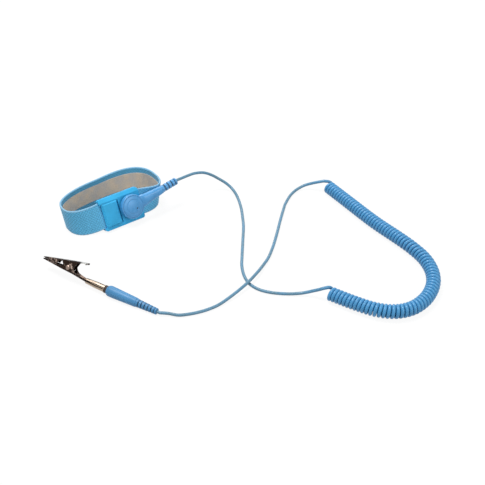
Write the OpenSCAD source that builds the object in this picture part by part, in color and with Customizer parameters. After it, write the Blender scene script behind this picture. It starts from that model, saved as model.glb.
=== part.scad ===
// Wrist strap for electrostatic grounding: an elastic band with a clasp and a snap, a curly cord,
// and a banana plug that carries an alligator clip.
// Frame: +X along the band's long axis, -Y towards the snap, +Z up. The origin is the middle of
// the band's footprint, on the surface that it stands on.

/* [Wristband] */
// Width of the woven strap
strap_w = 20; // [17:0.5:24]
// Thickness of the woven strap
strap_t = 1.4; // [1:0.1:1.8]
// Thickness of the conductive lining
lining_t = 0.4; // [0.3:0.1:0.8]
// Bare border of the strap above and below the lining
lining_margin = 4; // [2:0.5:5]
// Length of the band's loop at its lower edge
loop_len = 75; // [70:1:90]
// Depth of the band's loop at its lower edge
loop_dep = 40; // [36:1:50]
// How much longer the loop is at its upper edge
rim_longer = 5; // [0:0.5:7]
// Skew of the loop's upper edge, as a share of its half depth
rim_skew = 0.28; // [0:0.02:0.32]
// Squareness of the loop: 2 is an ellipse
loop_power = 2.5; // [2.2:0.1:3]
// Backward lean of the clasp, in degrees
lean = 24; // [16:1:28]

/* [Clasp] */
// Length of the clasp along the strap
base_len = 33; // [32:0.5:38]
// Height of the clasp's walls above and below the strap
edge_wall = 1.9; // [1.6:0.1:2.4]
// Thickness of the clasp in front of the strap
rail_t = 1.8; // [1.6:0.1:2.4]
// Thickness of the clasp behind the strap
floor_t = 1.1; // [0.8:0.1:1.6]
// Chamfer along the clasp's lower inner edge
base_chamfer = 1.2; // [0.5:0.1:1.6]
// Height of the bevel along the clasp's upper front edge
edge_bevel_h = 2.6; // [1.6:0.1:2.8]
// Depth of that bevel
edge_bevel_t = 1.3; // [0.4:0.1:1.5]
// Length of the flap along the strap
flap_len = 12.8; // [11:0.2:14]
// How far the flap stands proud of the clasp
flap_proud = 0.9; // [0.4:0.1:1]
// Bevel around the flap's face
flap_bevel = 0.7; // [0.3:0.1:1]
// Height of the rail below the flap
rail_h = 2.4; // [2:0.1:3]
// Height of the rail above the flap
rail_top_h = 3.6; // [3.2:0.1:4.2]
// Diameter of the flap's hinge pin
hinge_pin_d = 0.9; // [0.8:0.1:1]
// Length of the skin plate
skin_len = 18; // [14:0.5:18]
// Height of the skin plate
skin_h = 15; // [12:0.5:17]
// Thickness of the skin plate
skin_t = 0.4; // [0.3:0.1:0.6]

/* [Snap] */
// Distance of the snap from the clasp's middle, along the strap
snap_x = 7; // [6.5:0.5:7]
// Diameter of the stud's head
stud_d = 4; // [3.6:0.1:4.4]
// Diameter of the stud's flange
stud_flange_d = 8; // [7:0.5:9]
// Height of the stud above the clasp
stud_h = 3.3; // [3.3:0.1:3.6]
// Diameter of the snap socket
socket_d = 10; // [9:0.5:11]
// Wire diameter of the spring ring
ring_wire = 0.5; // [0.4:0.05:0.6]

/* [Snap connector] */
// Diameter of the connector's round head
head_d = 18.2; // [17.6:0.2:20]
// Thickness of the connector's head without its dome
head_t = 4.2; // [4:0.1:5]
// Gap between the clasp's face and the connector
head_gap = 1.5; // [1.3:0.1:2]
// Height of the cover's dome
dome_h = 1.3; // [0.6:0.1:2]
// Length of the connector from the snap's axis to its tip
boot_len = 40; // [38:0.5:46]
// Width of the neck where it leaves the head
neck_w = 8.4; // [7:0.2:12]
// Width of the neck where the ribs begin
neck_end_w = 5.8; // [5.6:0.1:7]
// Thickness of the neck
neck_t = 5.6; // [5.4:0.1:6.2]
// Length of the ribbed strain relief
relief_len = 12; // [10:0.5:14]
// Width of the strain relief at its tip
relief_tip_d = 5.2; // [4.6:0.1:5.4]
// Number of ribs on the strain relief
relief_ribs = 4; // [3:1:6]
// Rise of the connector along the clasp, in degrees
boot_rise = 9; // [0:1:14]
// Diameter of the resistor
resistor_d = 2.4; // [2:0.1:2.6]
// Length of the resistor
resistor_len = 6.3; // [5:0.1:7]

/* [Cord] */
// Diameter of the cord
cord_d = 2.2; // [1.8:0.05:2.3]
// Outer diameter of the curly stretch
coil_d = 10; // [8:0.25:11]
// Number of curls
coil_turns = 77; // [60:1:79]

/* [Plug] */
// Largest diameter of the plug's grip
grip_d = 7.7; // [7.4:0.1:9]
// Length of the plug's grip
grip_len = 25; // [23:0.5:32]
// Length of the grip's ribbed tail
tail_len = 15.5; // [14:0.5:20]
// Number of ribs on the tail
tail_ribs = 5; // [4:1:7]
// Diameter of the plug's stem
stem_d = 2.2; // [2:0.1:2.4]
// Length of the plug outside its grip
plug_len = 14; // [12:0.5:14]
// Diameter of the plug's spring cage at its widest
cage_d = 4; // [3.8:0.05:4.2]
// Thickness of the spring cage's leaves
leaf_t = 0.2; // [0.15:0.05:0.25]
// Rise of the plug towards its tip, in degrees
plug_tilt = 2.2; // [0:0.1:3]

/* [Clip] */
// Length of the clip from its tip to the plug's grip
clip_len = 54.5; // [52:0.5:60]
// Turn of the clip about the plug, in degrees
clip_roll = 33; // [0:1:40]
// Length of the clip's socket barrel
barrel_len = 15; // [14:0.5:17]
// Wall of the socket barrel
barrel_wall = 0.35; // [0.3:0.05:0.5]
// Diameter of the barrel at the end that holds the lower jaw
barrel_tip_d = 3.8; // [3.7:0.1:4.4]
// Thickness of the jaws' sheet metal
sheet_t = 0.5; // [0.4:0.05:0.6]
// Width of the lower jaw at the rivet
jaw_w = 6; // [5.8:0.1:8]
// Width of the jaws at their tip
tip_w = 2.6; // [2.4:0.1:4]
// Distance of the rivet from the tip
rivet_back = 22; // [20:0.2:23]
// Height of the rivet above the plug's axis
rivet_up = 4; // [3.9:0.1:4.6]
// Diameter of the rivet
rivet_d = 2; // [1.8:0.1:2.2]
// Height of the thumb lever above the plug's axis
lever_up = 11.5; // [11:0.1:13]
// Number of teeth on each jaw
jaw_teeth = 7; // [4:1:9]
// Depth of the teeth
tooth_h = 0.5; // [0.3:0.1:0.6]
// Wire diameter of the clip's spring
spring_wire = 0.5; // [0.4:0.05:0.5]
// Number of curls of the clip's spring
spring_turns = 2; // [1:1:2]

/* [Hidden] */
$fn = 48;

// Running gap of a pin in its hole, and the gap between pieces of different bodies
fit_gap = 0.05;
part_gap = 0.3;
// Room around the strap in the clasp's channel
strap_room = 0.1;

// The clasp's layers, measured inwards from its outer face
channel_y = rail_t;
channel_t = strap_t + lining_t + 2 * strap_room;
base_t = channel_y + channel_t + floor_t;
strap_y = channel_y + strap_room;

// The clasp's heights, measured up its leaning face
base_v0 = (base_t - base_chamfer) * tan(lean);
strap_v0 = base_v0 + edge_wall + strap_room;
strap_v1 = strap_v0 + strap_w;
base_v1 = strap_v1 + strap_room + edge_wall;
snap_v = (base_v0 + base_v1) / 2;
base_x = base_len / 2;

// The flap in its window
flap_gap = 0.2;
flap_x0 = -base_x + 1.3;
flap_x1 = flap_x0 + flap_len;
flap_v0 = base_v0 + rail_h + flap_gap;
flap_v1 = base_v1 - rail_top_h - flap_gap;
flap_t = flap_proud + rail_t / 2;
hinge_y = rail_t / 2;
hinge_x = flap_x0 + rail_t / 2;
// The hinge pin ends in the rail above the flap, below the clasp's bevel
pin_seat = 1.1;
pin_v0 = base_v0 + 0.3;
pin_v1 = flap_v1 + flap_gap + pin_seat;

// The loop's outer curves: half lengths at the lower and upper edges, and the half depth
low_a = loop_len / 2;
low_b = loop_dep / 2;
top_a = (loop_len + rim_longer) / 2;
// The loop's shares of its half length and half depth at an angle: an oval with squared ends
function oval_x(t) = sign(cos(t)) * pow(abs(cos(t)), 2 / loop_power);
function oval_y(t) = sign(sin(t)) * pow(abs(sin(t)), 2 / loop_power);
// Where the strap leaves the clasp, as a share of the loop's half depth
function clasp_share(a) = pow(1 - pow(base_x / a, loop_power), 1 / loop_power);
// Offset of the strap's outer face from the clasp's foot, at a height up the clasp
function strap_offset(v) = strap_y * cos(lean) + v * sin(lean);
// How far back the clasp holds the upper edge, from where the oval alone would have it
rim_back = strap_offset(strap_v1) - strap_offset(strap_v0)
    + low_b * (clasp_share(top_a) - clasp_share(low_a));
// Depth of the upper edge from the loop's middle. The clasp's hold on it fades around the ends
rim_fade = 5;
function rim_depth(t) =
    let (y = oval_y(t), hold = y < 0 ? pow(-y / clasp_share(top_a), rim_fade) : 0)
        low_b * y * (1 + rim_skew * oval_x(t) * (1 - hold)) + rim_back * hold;
front_off = min(base_v0 * sin(lean), flap_v0 * sin(lean) - flap_proud * cos(lean));
back_off = strap_offset(strap_v0) + low_b * clasp_share(low_a)
    + max(low_b, max([for (t = [0 : 2 : 180]) rim_depth(t)]));
// Where the clasp's outer face meets the surface that the band stands on
foot_y = -(front_off + back_off) / 2;
low_cy = foot_y + strap_offset(strap_v0) + low_b * clasp_share(low_a);

// The strap's ends inside the clasp
fixed_end_x = base_x - 7;
free_end_x = flap_x1 + 1;
band_z0 = strap_v0 * cos(lean) - strap_y * sin(lean);
band_z1 = strap_v1 * cos(lean) - strap_y * sin(lean);
loop_steps = 44;

// The connector, in the snap's own frame: x along the neck, z away from the clasp
head_r = head_d / 2;
head_z0 = head_gap;
head_z1 = head_gap + head_t;
neck_z = head_gap + neck_t / 2;
relief_x = boot_len - relief_len;
cover_r = head_r - 1.1;
cover_wall = 1;
cover_seat_z = head_z1 - cover_wall;
cover_roof_z = 0.8;
head_wall = 1;
post_d = stud_d - 0.5;
stud_head_h = 1;
stud_cap = 0.4;
rivet_shank_d = 2.4;
socket_r = socket_d / 2;
socket_z1 = stud_h + part_gap + stud_cap;
ring_z = stud_h - stud_head_h - part_gap;
groove_h = ring_wire / 2 + 0.05;
wire_d = 0.6;
wire_hole_d = 1;
resistor_x = 13;
resistor_room = 0.3;

// Cord and curls
cord_r = cord_d / 2;
coil_r = (coil_d - cord_d) / 2;
coil_z = coil_d / 2;
lead_sides = 8;
lead_ring_step = 6;
curve_steps = 8;
coil_sides = 6;
rings_per_curl = 8;

// Plug and clip, in the plug's own frame: x towards the clip's tip, z up
plug_spot = [-50.8, -81.2];
plug_heading = 113.5;
plug_z = grip_d / 2;
flange_t = 1.6;
cage_x0 = flange_t + 0.4;
cage_x1 = plug_len - 2.4;
nose_r = cage_d / 2 - 0.7;
barrel_r = cage_d / 2 + fit_gap + barrel_wall;
barrel_tip_r = barrel_tip_d / 2;
barrel_x0 = flange_t + 0.3;
barrel_x1 = barrel_x0 + barrel_len;
// The barrel narrows from beyond the widest part of the spring cage
barrel_neck_x = (cage_x0 + cage_x1) / 2 + 1.2;
rivet_x = clip_len - rivet_back;
tip_z = 3.35;
tail_r0 = 2.8;
tail_r1 = 2.2;
crimp_d = 3.4;
crimp_x = -11;
grip_bore_x = -20;

// The jaws, seen from the side: the lower jaw's tang ends inside the barrel
tang_lap = 2;
tang_x = barrel_x1 - tang_lap;
tang_half = barrel_tip_r - barrel_wall - fit_gap;
tang_z0 = -0.9;
tang_z1 = 0.7;
knee_x = rivet_x - 4.5;
knee_z = rivet_up - 2.9;
lever_x = rivet_x - 8;
thumb_x = lever_x - 5;
jaw_gap = 0.15;
upper_half = jaw_w / 2 - sheet_t - jaw_gap;
bite_z = tip_z - 0.05;
bite_gap = 0.15;
teeth_x0 = clip_len - 9;
teeth_x1 = clip_len - 0.4;
// More than any width or height of the clip, for cuts that go right through it
clip_reach = 20;

// The clip's spring: its legs run back under the roof and along the floor
spring_r = rivet_d / 2 + 0.35 + spring_wire / 2;
spring_span = 2 * (upper_half - sheet_t) - 0.7 - spring_wire;
spring_phase = 72;
spring_part = 0.5;
spring_leg_up = 4.4;
spring_leg_down = 5;

// The routes of the cord, as chosen points in millimetres
strap_lead_points = [
    [59.5, -16.5, 19.5], [65.5, -16.5, 19], [72.5, -17, 17], [78.5, -18.5, 13.5], [83.5, -21.5, 9.5],
    [87.5, -26, 6], [89, -32.5, 3.2], [87, -41.5, 1.6], [81.5, -53.5, 1.2], [75, -64.5, 1.2],
    [68.5, -74.5, 1.2], [58.5, -87.5, 1.2], [46.5, -103, 1.2], [40.5, -111, 1.2],
    [36, -119.5, 1.2], [33.5, -128.5, 1.2], [34.5, -136.5, 1.2], [38, -143.5, 1.2], [43, -149.5, 1.2],
    [48.5, -154.5, 1.3], [53.5, -159, 1.8], [56.5, -164.5, 3.6], [58.8, -170, 5.9],
    [60.8, -173.8, 7.9], [63, -175.4, 8.7]];
plug_lead_points = [
    [-29, -124.5, 1.8], [-24, -129.5, 1.3], [-16.5, -133, 1.2], [-10, -135, 1.2], [-4, -136, 1.2],
    [2.5, -136.3, 1.3], [10, -135.5, 1.8], [21, -133.8, 3.1], [32, -130.7, 3.7], [44, -125.1, 3],
    [53, -119.8, 1.8], [61.5, -114.5, 1.3], [72, -106, 1.2], [83.5, -95.5, 1.2], [96, -83.5, 1.2],
    [109, -71.5, 1.2], [121.5, -63.5, 1.2], [132, -60.3, 1.5], [137.5, -61.7, 2.6],
    [140.8, -65.2, 4.2], [142.5, -69.5, 6.3], [144.2, -73.1, 8.2]];
coil_points = [
    [149.5, -74.5], [148.5, -96.5], [147, -129.5], [147.7, -156.5], [147.5, -170.5], [145.8, -183.5],
    [141, -195.5], [133.8, -205], [124.5, -212], [113.5, -216.5], [101.5, -217.5], [90.5, -213.5],
    [81.5, -204.5], [74.5, -191], [67.5, -173.5]];

// ---- Frames ----

// The clasp's frame: x along the strap, y inwards from the outer face, z up the leaning face
module at_clasp() translate([0, foot_y, 0]) rotate([-lean, 0, 0]) children();

// The snap's frame: x along the connector's neck, z out of the clasp
module at_snap() at_clasp() translate([snap_x, 0, snap_v]) rotate([90, 0, 0])
    rotate([0, 0, boot_rise]) children();

// The plug's frame: x towards the clip's tip
module at_plug() translate([plug_spot[0], plug_spot[1], plug_z])
    rotate([0, -plug_tilt, plug_heading]) children();

// The clip's frame: the plug's, turned about its axis
module at_clip() at_plug() rotate([clip_roll, 0, 0]) children();

// The same frames as functions, for the cord's ends
function from_clasp(p) = [
    p[0],
    foot_y + p[1] * cos(lean) + p[2] * sin(lean),
    -p[1] * sin(lean) + p[2] * cos(lean)];
function from_snap(p) = from_clasp([
    snap_x + p[0] * cos(boot_rise) - p[1] * sin(boot_rise),
    -p[2],
    snap_v + p[0] * sin(boot_rise) + p[1] * cos(boot_rise)]);
function from_plug(p) = let (ahead = p[0] * cos(plug_tilt) - p[2] * sin(plug_tilt)) [
    plug_spot[0] + ahead * cos(plug_heading) - p[1] * sin(plug_heading),
    plug_spot[1] + ahead * sin(plug_heading) + p[1] * cos(plug_heading),
    plug_z + p[0] * sin(plug_tilt) + p[2] * cos(plug_tilt)];

// ---- Vectors and curves ----

function unit(v) = v / norm(v);
// A smooth curve through points: four neighbours and a share from the second to the third
function through(a, b, c, d, t) =
    ((2 * b) + (c - a) * t + (2 * a - 5 * b + 4 * c - d) * t * t
        + (3 * b - a - 3 * c + d) * t * t * t) / 2;
function smooth_path(p, steps) = let (n = len(p) - 1) [
    for (i = [0 : n - 1], k = [0 : steps - 1])
        through(p[max(i - 1, 0)], p[i], p[i + 1], p[min(i + 2, n)], k / steps),
    p[n]];
// Direction of a path at one of its points
function heading(p, i) = unit(p[min(i + 1, len(p) - 1)] - p[max(i - 1, 0)]);
// A ring of points around a path's point: side is any direction across the path
function ring(p, along, side, r, sides) =
    let (b = unit(cross(along, side)), a = cross(b, along))
        [for (k = [0 : sides - 1]) p + r * (a * cos(360 * k / sides) + b * sin(360 * k / sides))];
// Triangles around a stack of rings, with a fan over each end. Two tubes that share a face
// split it along the same diagonal when one of them is mirrored
function tube_faces(rings, sides, mirrored = false) = [
    for (i = [0 : rings - 2], k = [0 : sides - 1])
        let (a = i * sides + k, b = i * sides + (k + 1) % sides)
            each mirrored
                ? [[a, a + sides, b + sides], [a, b + sides, b]]
                : [[a, a + sides, b], [b, a + sides, b + sides]],
    for (k = [1 : sides - 2]) [0, k, k + 1],
    for (k = [1 : sides - 2]) let (e = (rings - 1) * sides) [e, e + k + 1, e + k]];
module tube(stack, sides, mirrored = false) polyhedron(
    [for (r = stack) each r], tube_faces(len(stack), sides, mirrored), convexity = 10);

// A plate with round corners, in the plane of x and y
module round_plate(w, h, r) {
    square([w - 2 * r, h], center = true);
    square([w, h - 2 * r], center = true);
    for (x = [-1, 1], y = [-1, 1]) translate([x * (w / 2 - r), y * (h / 2 - r)]) circle(r);
}

// A profile in x and radius, turned about the x axis
module turned(profile) rotate([0, 90, 0]) rotate_extrude()
    polygon([for (p = profile) [p[1], p[0]]]);

// A profile in radius and height, turned about the z axis
module turned_up(profile) rotate_extrude() polygon(profile);

// ---- Wristband ----

function clasp_angle(a) = acos(pow(base_x / a, loop_power / 2));

// How much an edge point follows the clasp's lean: all of it in the clasp, none further around
function lean_share(i) = let (k = min(i - 2, loop_steps + 2 - i))
    k < 0 ? 1 : pow(max(0, 1 - 8 * k / loop_steps), 2);

// One edge of the strap's outer face, from the fixed end around to the free end
function edge(upper) =
    let (
        a = upper ? top_a : low_a,
        v = upper ? strap_v1 : strap_v0,
        z_clasp = upper ? band_z1 : band_z0,
        z_loop = upper ? strap_w : 0,
        t0 = clasp_angle(a))
        [
            for (x = [fixed_end_x, base_x - 0.2]) from_clasp([x, strap_y, v]),
            for (i = [0 : loop_steps])
                let (t = -t0 + i * (180 + 2 * t0) / loop_steps)
                    [a * oval_x(t), low_cy + (upper ? rim_depth(t) : low_b * oval_y(t)),
                        z_loop + (z_clasp - z_loop) * lean_share(i + 2)],
            for (x = [-base_x + 0.2, free_end_x]) from_clasp([x, strap_y, v])];

// A ribbon around the loop. Each point of its profile is measured from the lower edge (0) or the
// upper edge (1): [edge, distance up from that edge, depth below the strap's outer face]
module ribbon(profile, mirrored) {
    edges = [edge(false), edge(true)];
    last = len(edges[0]) - 1;
    stack = [for (i = [0 : last])
        let (
            j = max(i, 1) - 1,
            k = min(i + 1, last),
            across = unit(edges[1][i] - edges[0][i]),
            along = edges[0][k] + edges[1][k] - edges[0][j] - edges[1][j],
            normal = unit(cross(across, along)),
            level = unit([normal[0], normal[1], 0]),
            inward = lean_share(i) * normal + (1 - lean_share(i)) * level / (level * normal))
                [for (p = profile) edges[p[0]][i] + across * p[1] + inward * p[2]]];
    tube(stack, len(profile), mirrored);
}

module elastic_band() color([0.33, 0.66, 0.9]) ribbon([
    [0, 0, 0], [1, 0, 0], [1, 0, strap_t], [1, -lining_margin, strap_t],
    [0, lining_margin, strap_t], [0, 0, strap_t]], false);

module conductive_lining() color([0.62, 0.58, 0.54]) ribbon([
    [0, lining_margin, strap_t], [1, -lining_margin, strap_t],
    [1, -lining_margin, strap_t + lining_t], [0, lining_margin, strap_t + lining_t]], true);

// The clasp's outline with its chamfers and its front bevel, as a profile in y and z
module base_profile() polygon([
    [0, base_v0], [base_t - base_chamfer, base_v0], [base_t, base_v0 + base_chamfer],
    [base_t, base_v1 - base_chamfer / 2], [base_t - base_chamfer / 2, base_v1],
    [edge_bevel_t, base_v1], [0, base_v1 - edge_bevel_h]]);

module buckle_base() color([0.2, 0.68, 0.93]) at_clasp() difference() {
    intersection() {
        rotate([90, 0, 90]) translate([0, 0, -base_x]) linear_extrude(base_len) base_profile();
        translate([0, base_t + 1, (base_v0 + base_v1) / 2]) rotate([90, 0, 0])
            linear_extrude(base_t + 2) round_plate(base_len, base_v1 - base_v0, 1.6);
    }
    // Channel for the free end, slot for the fixed end, and the flap's window
    translate([-base_x - 1, channel_y, strap_v0 - strap_room])
        cube([free_end_x + base_x + 1.4, channel_t, strap_w + 2 * strap_room]);
    translate([fixed_end_x - 0.1, channel_y, strap_v0 - strap_room])
        cube([base_len, channel_t, strap_w + 2 * strap_room]);
    translate([-base_x - 1, -1, flap_v0 - flap_gap])
        cube([flap_x1 + flap_gap + base_x + 1, channel_y + 2, flap_v1 - flap_v0 + 2 * flap_gap]);
    translate([hinge_x, hinge_y, base_v0 - 1])
        cylinder(d = hinge_pin_d, h = pin_v1 - base_v0 + 1);
    translate([snap_x, -1, snap_v]) rotate([-90, 0, 0]) cylinder(d = rivet_shank_d, h = base_t + 2);
}

module clamp_flap() color([0.2, 0.68, 0.93]) at_clasp() difference() {
    union() {
        intersection() {
            translate([0, 0, flap_v0]) linear_extrude(flap_v1 - flap_v0) polygon([
                [hinge_x, rail_t / 2 + 0.3], [hinge_x - 0.4, 0.3], [hinge_x, -flap_proud + flap_bevel],
                [hinge_x + flap_bevel, -flap_proud], [flap_x1 - flap_bevel, -flap_proud],
                [flap_x1, -flap_proud + flap_bevel], [flap_x1, rail_t / 2 - 0.4],
                [flap_x1 - 0.6, rail_t / 2], [hinge_x + 1.5, rail_t / 2]]);
            rotate([90, 0, 90]) translate([0, 0, flap_x0 - 1]) linear_extrude(flap_len + 2) polygon([
                [rail_t, flap_v0], [-flap_proud + flap_bevel, flap_v0],
                [-flap_proud, flap_v0 + flap_bevel], [-flap_proud, flap_v1 - flap_bevel],
                [-flap_proud + flap_bevel, flap_v1], [rail_t, flap_v1]]);
        }
        // Hinge knuckle, and the toothed lip that presses on the strap
        translate([hinge_x, hinge_y, flap_v0])
            cylinder(r = rail_t / 2 - 0.05, h = flap_v1 - flap_v0);
        for (i = [0 : 3]) translate([hinge_x + 2.4 + i * 1.4, rail_t / 2 - 0.05, flap_v0 + 0.6])
            linear_extrude(flap_v1 - flap_v0 - 1.2)
                polygon([[-0.7, 0], [0.7, 0], [0.1, rail_t / 2 - 0.1], [-0.1, rail_t / 2 - 0.1]]);
    }
    translate([hinge_x, hinge_y, flap_v0 - 1])
        cylinder(d = hinge_pin_d + 2 * fit_gap, h = flap_v1 - flap_v0 + 2);
}

module flap_hinge_pin() color("silver") at_clasp() translate([hinge_x, hinge_y, pin_v0])
    cylinder(d = hinge_pin_d, h = pin_v1 - pin_v0);

module skin_plate() color("lightgray") at_clasp() difference() {
    translate([snap_x, base_t + skin_t, snap_v]) rotate([90, 0, 0])
        linear_extrude(skin_t) round_plate(skin_len, skin_h, 3);
    translate([snap_x, 0, snap_v]) rotate([-90, 0, 0]) cylinder(d = rivet_shank_d, h = base_t + 2);
}

module snap_stud() color("silver") at_snap() turned_up([
    [rivet_shank_d / 2, 0], [stud_flange_d / 2 - 0.15, 0], [stud_flange_d / 2, 0.15],
    [stud_flange_d / 2 - 0.15, stud_cap], [post_d / 2 + 0.3, stud_cap],
    [post_d / 2, stud_cap + 0.3], [post_d / 2, stud_h - stud_head_h],
    [stud_d / 2, stud_h - stud_head_h + 0.25], [stud_d / 2, stud_h - 0.4],
    [stud_d / 2 - 0.4, stud_h], [0, stud_h], [0, stud_h - stud_cap],
    [rivet_shank_d / 2, stud_h - stud_cap]]);

module stud_rivet() color("lightgray") at_snap() turned_up([
    [0, -base_t - skin_t - 0.6], [1.6, -base_t - skin_t - 0.5], [2.4, -base_t - skin_t],
    [rivet_shank_d / 2, -base_t - skin_t], [rivet_shank_d / 2, stud_h - stud_cap - 0.25],
    [rivet_shank_d / 2 - 0.25, stud_h - stud_cap], [0, stud_h - stud_cap]]);

// ---- Snap connector ----

// An open ring of spring wire that grips the stud's post below its head
module snap_spring_ring() color("gold") at_snap() translate([0, 0, ring_z])
    rotate([0, 0, 15]) rotate_extrude(angle = 330)
        translate([post_d / 2 + fit_gap + ring_wire / 2, 0]) circle(d = ring_wire, $fn = 16);

module snap_socket() color("silver") at_snap() turned_up([
    [stud_d / 2 + part_gap, head_z0], [socket_r, head_z0], [socket_r, head_z0 + head_wall],
    [socket_r - 1.2, head_z0 + head_wall], [socket_r - 1.2, socket_z1],
    [0, socket_z1], [0, socket_z1 - stud_cap], [stud_d / 2 + part_gap, socket_z1 - stud_cap],
    [stud_d / 2 + part_gap, ring_z + groove_h],
    [post_d / 2 + ring_wire + 0.5, ring_z + groove_h],
    [post_d / 2 + ring_wire + 0.5, ring_z - groove_h],
    [stud_d / 2 + part_gap, ring_z - groove_h]]);

// The neck as a hull from the head to the ribs
module neck_shape() hull() {
    translate([head_r * 0.45, 0, head_z0]) linear_extrude(head_t)
        square([2, neck_w + 3], center = true);
    translate([head_r + 2.5, 0, neck_z]) rotate([0, 90, 0]) scale([1, neck_w / neck_t, 1])
        cylinder(d = neck_t, h = 1, $fn = 32);
    translate([relief_x - 2, 0, neck_z]) rotate([0, 90, 0])
        scale([1, neck_end_w / neck_t, 1]) cylinder(d = neck_t, h = 2, $fn = 32);
}

module snap_housing() color([0.2, 0.47, 0.85]) at_snap() difference() {
    union() {
        turned_up([
            [0, head_z0], [head_r - 0.5, head_z0], [head_r, head_z0 + 0.5],
            [head_r, head_z1 - 0.7], [head_r - 0.2, head_z1 - 0.2], [head_r - 0.7, head_z1],
            [0, head_z1]]);
        neck_shape();
    }
    // Seat of the cover, the room for the wiring, and the socket's hole
    translate([0, 0, cover_seat_z]) cylinder(r = cover_r, h = head_t);
    translate([0, 0, head_z0 + head_wall]) cylinder(r = cover_r - cover_wall, h = head_t);
    translate([0, 0, head_z0 - 1]) cylinder(r = socket_r, h = head_t);
    // The resistor's chamber, with a wire hole at each end
    translate([resistor_x - 1, 0, neck_z]) rotate([0, 90, 0])
        cylinder(r = resistor_d / 2 + resistor_room, h = resistor_len + 2);
    translate([cover_r - 2, 0, neck_z]) rotate([0, 90, 0])
        cylinder(d = wire_hole_d, h = resistor_x - cover_r + 2);
    translate([resistor_x, 0, neck_z]) rotate([0, 90, 0])
        cylinder(d = wire_d, h = relief_x - resistor_x + 1);
}

module snap_cover() color([0.26, 0.52, 0.88]) at_snap() difference() {
    dome_r = (pow(cover_r, 2) + pow(dome_h, 2)) / (2 * dome_h);
    turned_up(concat(
        [[0, cover_seat_z + cover_roof_z], [cover_r - cover_wall, cover_seat_z + cover_roof_z],
            [cover_r - cover_wall, cover_seat_z], [cover_r, cover_seat_z]],
        [for (x = [cover_r : -0.8 : 0])
            [x, head_z1 + dome_h - dome_r + sqrt(pow(dome_r, 2) - pow(x, 2))]],
        [[0, head_z1 + dome_h]]));
    // A notch for the wire, and the moulding dimple
    translate([cover_r - 2, 0, neck_z]) rotate([0, 90, 0]) cylinder(d = wire_hole_d, h = 3);
    translate([2, -2.3, head_z1 + dome_h - 0.5]) cylinder(d = 1, h = 2);
}

module resistor() color([0.8, 0.72, 0.55]) at_snap() translate([resistor_x, 0, neck_z]) turned([
    [0, 0], [0, resistor_d / 2 - 0.3], [0.3, resistor_d / 2], [1.3, resistor_d / 2],
    [1.6, resistor_d / 2 - 0.25], [resistor_len - 1.6, resistor_d / 2 - 0.25],
    [resistor_len - 1.3, resistor_d / 2], [resistor_len - 0.3, resistor_d / 2],
    [resistor_len, resistor_d / 2 - 0.3], [resistor_len, 0]]);

// One lead lies on the socket's top, the other runs to the cord
module resistor_leads() color("silver") at_snap() {
    translate([1, 0, max(neck_z, socket_z1 + wire_d / 2)]) rotate([0, 90, 0])
        cylinder(d = wire_d, h = resistor_x - 1);
    translate([resistor_x + resistor_len, 0, neck_z]) rotate([0, 90, 0])
        cylinder(d = wire_d, h = relief_x - resistor_x - resistor_len);
}

// A tapered strain relief along x: ribs with gaps between them, joined by two webs
module ribbed_taper(length, r0, r1, ribs, core_r) {
    pitch = (length - 1) / ribs;
    function radius(x) = r0 + (r1 - r0) * x / length;
    turned([
        [0, 0], [0, radius(0)],
        for (i = [0 : ribs - 1]) each [
            [i * pitch + pitch * 0.55, radius(i * pitch + pitch * 0.55)],
            [i * pitch + pitch * 0.55, core_r],
            [(i + 1) * pitch, core_r],
            [(i + 1) * pitch, radius((i + 1) * pitch)]],
        [length, radius(length)], [length, 0]]);
    intersection() {
        turned([[0.2, 0], [0.2, r0 - 0.2], [length - 0.2, r1 - 0.2], [length - 0.2, 0]]);
        translate([0, -core_r * 0.45, -r0]) cube([length, core_r * 0.9, 2 * r0]);
    }
}

module snap_strain_relief() color([0.2, 0.47, 0.85]) at_snap() translate([relief_x, 0, neck_z])
    ribbed_taper(relief_len, neck_t / 2 - 0.05, relief_tip_d / 2, relief_ribs, cord_r + 0.5);

// ---- Cord ----

function running_sum(v) = [
    for (i = 0, s = 0; i <= len(v); s = s + (i < len(v) ? v[i] : 0), i = i + 1) s];
// A path's points again, at even steps along it
function evenly(path, step) =
    let (
        n = len(path) - 1,
        sums = running_sum([for (i = [0 : n - 1]) norm(path[i + 1] - path[i])]),
        tables = [for (c = [0 : 2]) [for (i = [0 : n]) [sums[i], path[i][c]]]],
        count = round(sums[n] / step))
        [for (k = [0 : count]) [for (c = [0 : 2]) lookup(sums[n] * k / count, tables[c])]];

// A lead's rings: straight and square at both ends for one diameter, and smooth between
function lead_stack(first, first_dir, points, last, last_dir) =
    let (
        path = evenly(smooth_path(
            concat([first + first_dir * cord_d], points, [last - last_dir * cord_d]),
            curve_steps), lead_ring_step),
        n = len(path) - 1)
        concat(
            [ring(first, first_dir, [0, 0, 1], cord_r, lead_sides)],
            [for (i = [0 : n])
                let (along = i == 0 ? first_dir : i == n ? last_dir : heading(path, i))
                    ring(path[i], along, [0, 0, 1], cord_r, lead_sides)],
            [ring(last, last_dir, [0, 0, 1], cord_r, lead_sides)]);

// Points of the curls: the curly stretch follows its own middle line at a steady inner gap
coil_line = smooth_path(coil_points, curve_steps);
coil_count = len(coil_line);
function plan_angle(v) = atan2(v[1], v[0]);
// Unwrapped direction of the middle line at each of its points
function unwrap(angles, i = 0, last = undef, out = []) =
    i == len(angles) ? out :
        let (
            raw = angles[i],
            a = is_undef(last) ? raw : raw - 360 * round((raw - last) / 360))
            unwrap(angles, i + 1, a, concat(out, [a]));
coil_dir = unwrap([for (i = [0 : coil_count - 1]) plan_angle(heading(coil_line, i))]);
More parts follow.
